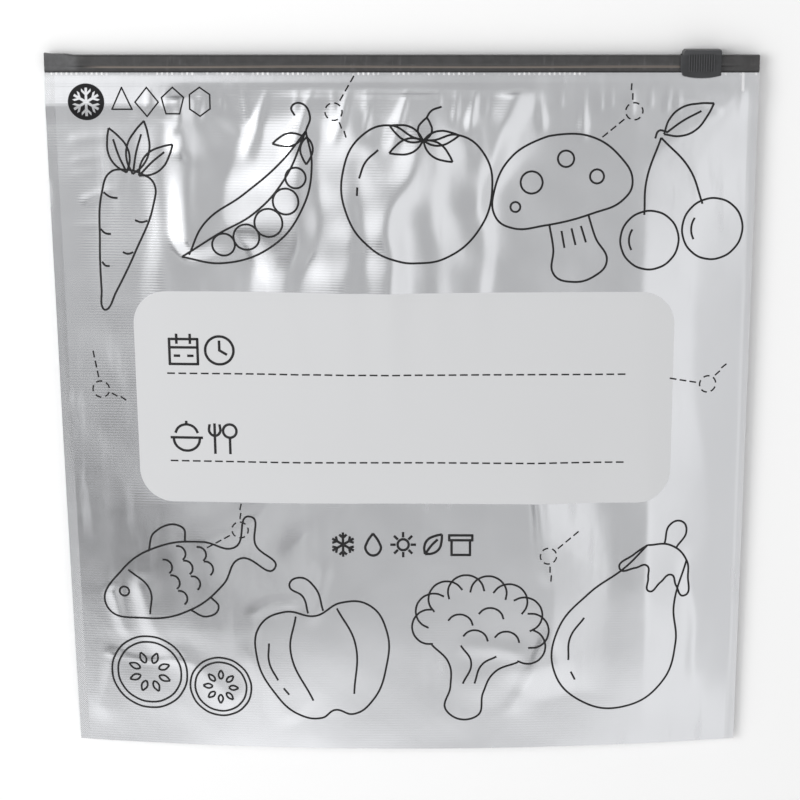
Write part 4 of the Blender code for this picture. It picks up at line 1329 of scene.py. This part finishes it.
def sky_light(bench, turn_x, turn_y):
    """The studio's light by direction: degrees from straight up to the right and to the back."""
    def far(middle_x, middle_y):
        off_x = bench.math("SUBTRACT", turn_x, middle_x)
        off_y = bench.math("SUBTRACT", turn_y, middle_y)
        return bench.reach(off_x, off_y)

    both = bench.times
    back = bench.band(turn_y, 24.0, 32.0, 1.0, 0.0)
    slant = bench.plus(bench.times(turn_x, 0.6), bench.times(turn_y, 0.8))
    lights = [
        both(bench.band(turn_x, 8.0, 13.0, 0.0, 0.44), bench.band(turn_x, 23.0, 29.0, 1.0, 0.5)),
        bench.band(turn_x, -19.0, -25.0, 0.0, 0.45),
        bench.band(turn_y, -22.0, -40.0, 0.0, 0.44),
        both(bench.band(turn_y, -30.0, -36.0, 0.0, 0.6), bench.band(turn_x, 3.0, 9.0, 1.0, 0.0)),
        bench.band(slant, -27.0, -37.0, 0.0, 0.56),
        both(both(bench.band(turn_x, -1.0, -6.0), bench.band(turn_y, 3.5, 8.5, 0.0, 0.56)), back),
        both(both(bench.band(turn_x, -3.5, -6.5), bench.band(turn_y, 9.0, 13.0, 0.0, 0.68)), back),
        both(both(bench.band(turn_x, -9.0, -14.0), bench.band(turn_y, -8.0, -3.0, 0.0, 0.47)), back),
        both(both(bench.band(turn_x, -14.0, -19.0), bench.band(turn_y, -18.0, -12.0, 0.0, 0.44)), back),
        bench.band(far(-7.0, -18.0), 2.0, 4.5, 0.45, 0.0),
    ]
    light = 0.0
    for part in lights:
        light = bench.math("MAXIMUM", light, part)
    hollow = bench.band(far(-16.5, -19.5), 8.0, 4.5, 1.0, 0.1)
    dark = both(bench.band(turn_y, 32.0, 42.0, 1.0, 0.5), hollow)
    return both(bench.plus(light, FILL_LIGHT), dark)


def build_studio():
    """Camera, floor and soft light."""
    data = bpy.data.cameras.new("camera")
    data.sensor_width = SENSOR
    data.lens = LENS
    camera = bpy.data.objects.new("camera", data)
    bpy.context.scene.collection.objects.link(camera)
    camera.location = CAMERA_PLACE
    camera.rotation_euler = (-math.atan2(CAMERA_PLACE[1] - AIM_Y, CAMERA_PLACE[2]), 0.0, 0.0)
    bpy.context.scene.camera = camera

    start_clean()
    bpy.ops.mesh.primitive_plane_add(size=FLOOR_SIZE, location=(0, 0, -FLOOR_DROP))
    floor = bpy.context.active_object
    floor.name = "floor"
    material, _ = plain_material("floor_white", (0.98, 0.98, 0.98), 0.9)
    floor.data.materials.append(material)

    key = bpy.data.lights.new("key", "AREA")
    key.size = KEY_SIZE
    key.energy = KEY_ENERGY
    lamp = bpy.data.objects.new("key", key)
    lamp.location = KEY_PLACE
    lamp.rotation_euler = (-Vector(lamp.location)).to_track_quat("-Z", "Y").to_euler()
    bpy.context.scene.collection.objects.link(lamp)

    world = bpy.data.worlds.new("studio")
    bpy.context.scene.world = world
    world.use_nodes = True
    background = world.node_tree.nodes["Background"]
    bench = Bench(world.node_tree)
    split = bench.add("ShaderNodeSeparateXYZ")
    bench.join(bench.add("ShaderNodeTexCoord").outputs["Generated"], split.inputs[0])
    turns = []
    for axis in "XY":
        turn = bench.math("ARCTAN2", split.outputs[axis], split.outputs["Z"])
        turns.append(bench.math("DEGREES", turn))
    bench.join(sky_light(bench, *turns), background.inputs["Strength"])
    background.inputs["Color"].default_value = (1.0, 1.0, 1.0, 1.0)


film = build_film()
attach(film, "root")
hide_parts("pouch")
wear = make_scuffs()
film.data.materials.append(make_foil(make_film_layout(), make_film_relief(), wear))

black_ink = make_ink(wear)
for ink in build_print():
    ink.data.materials.clear()
    ink.data.materials.append(black_ink)
    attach(ink, "root")

rails = build_rails()
rails.data.materials.clear()
rails.data.materials.append(make_rail_plastic(wear))
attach(rails, "root")
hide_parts("zip_track")

slider = build_slider()
slider.data.materials.clear()
slider.data.materials.append(make_slider_plastic(wear))
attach(slider, "root")
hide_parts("slider")
build_studio()
bpy.context.scene.view_settings.view_transform = "Standard"
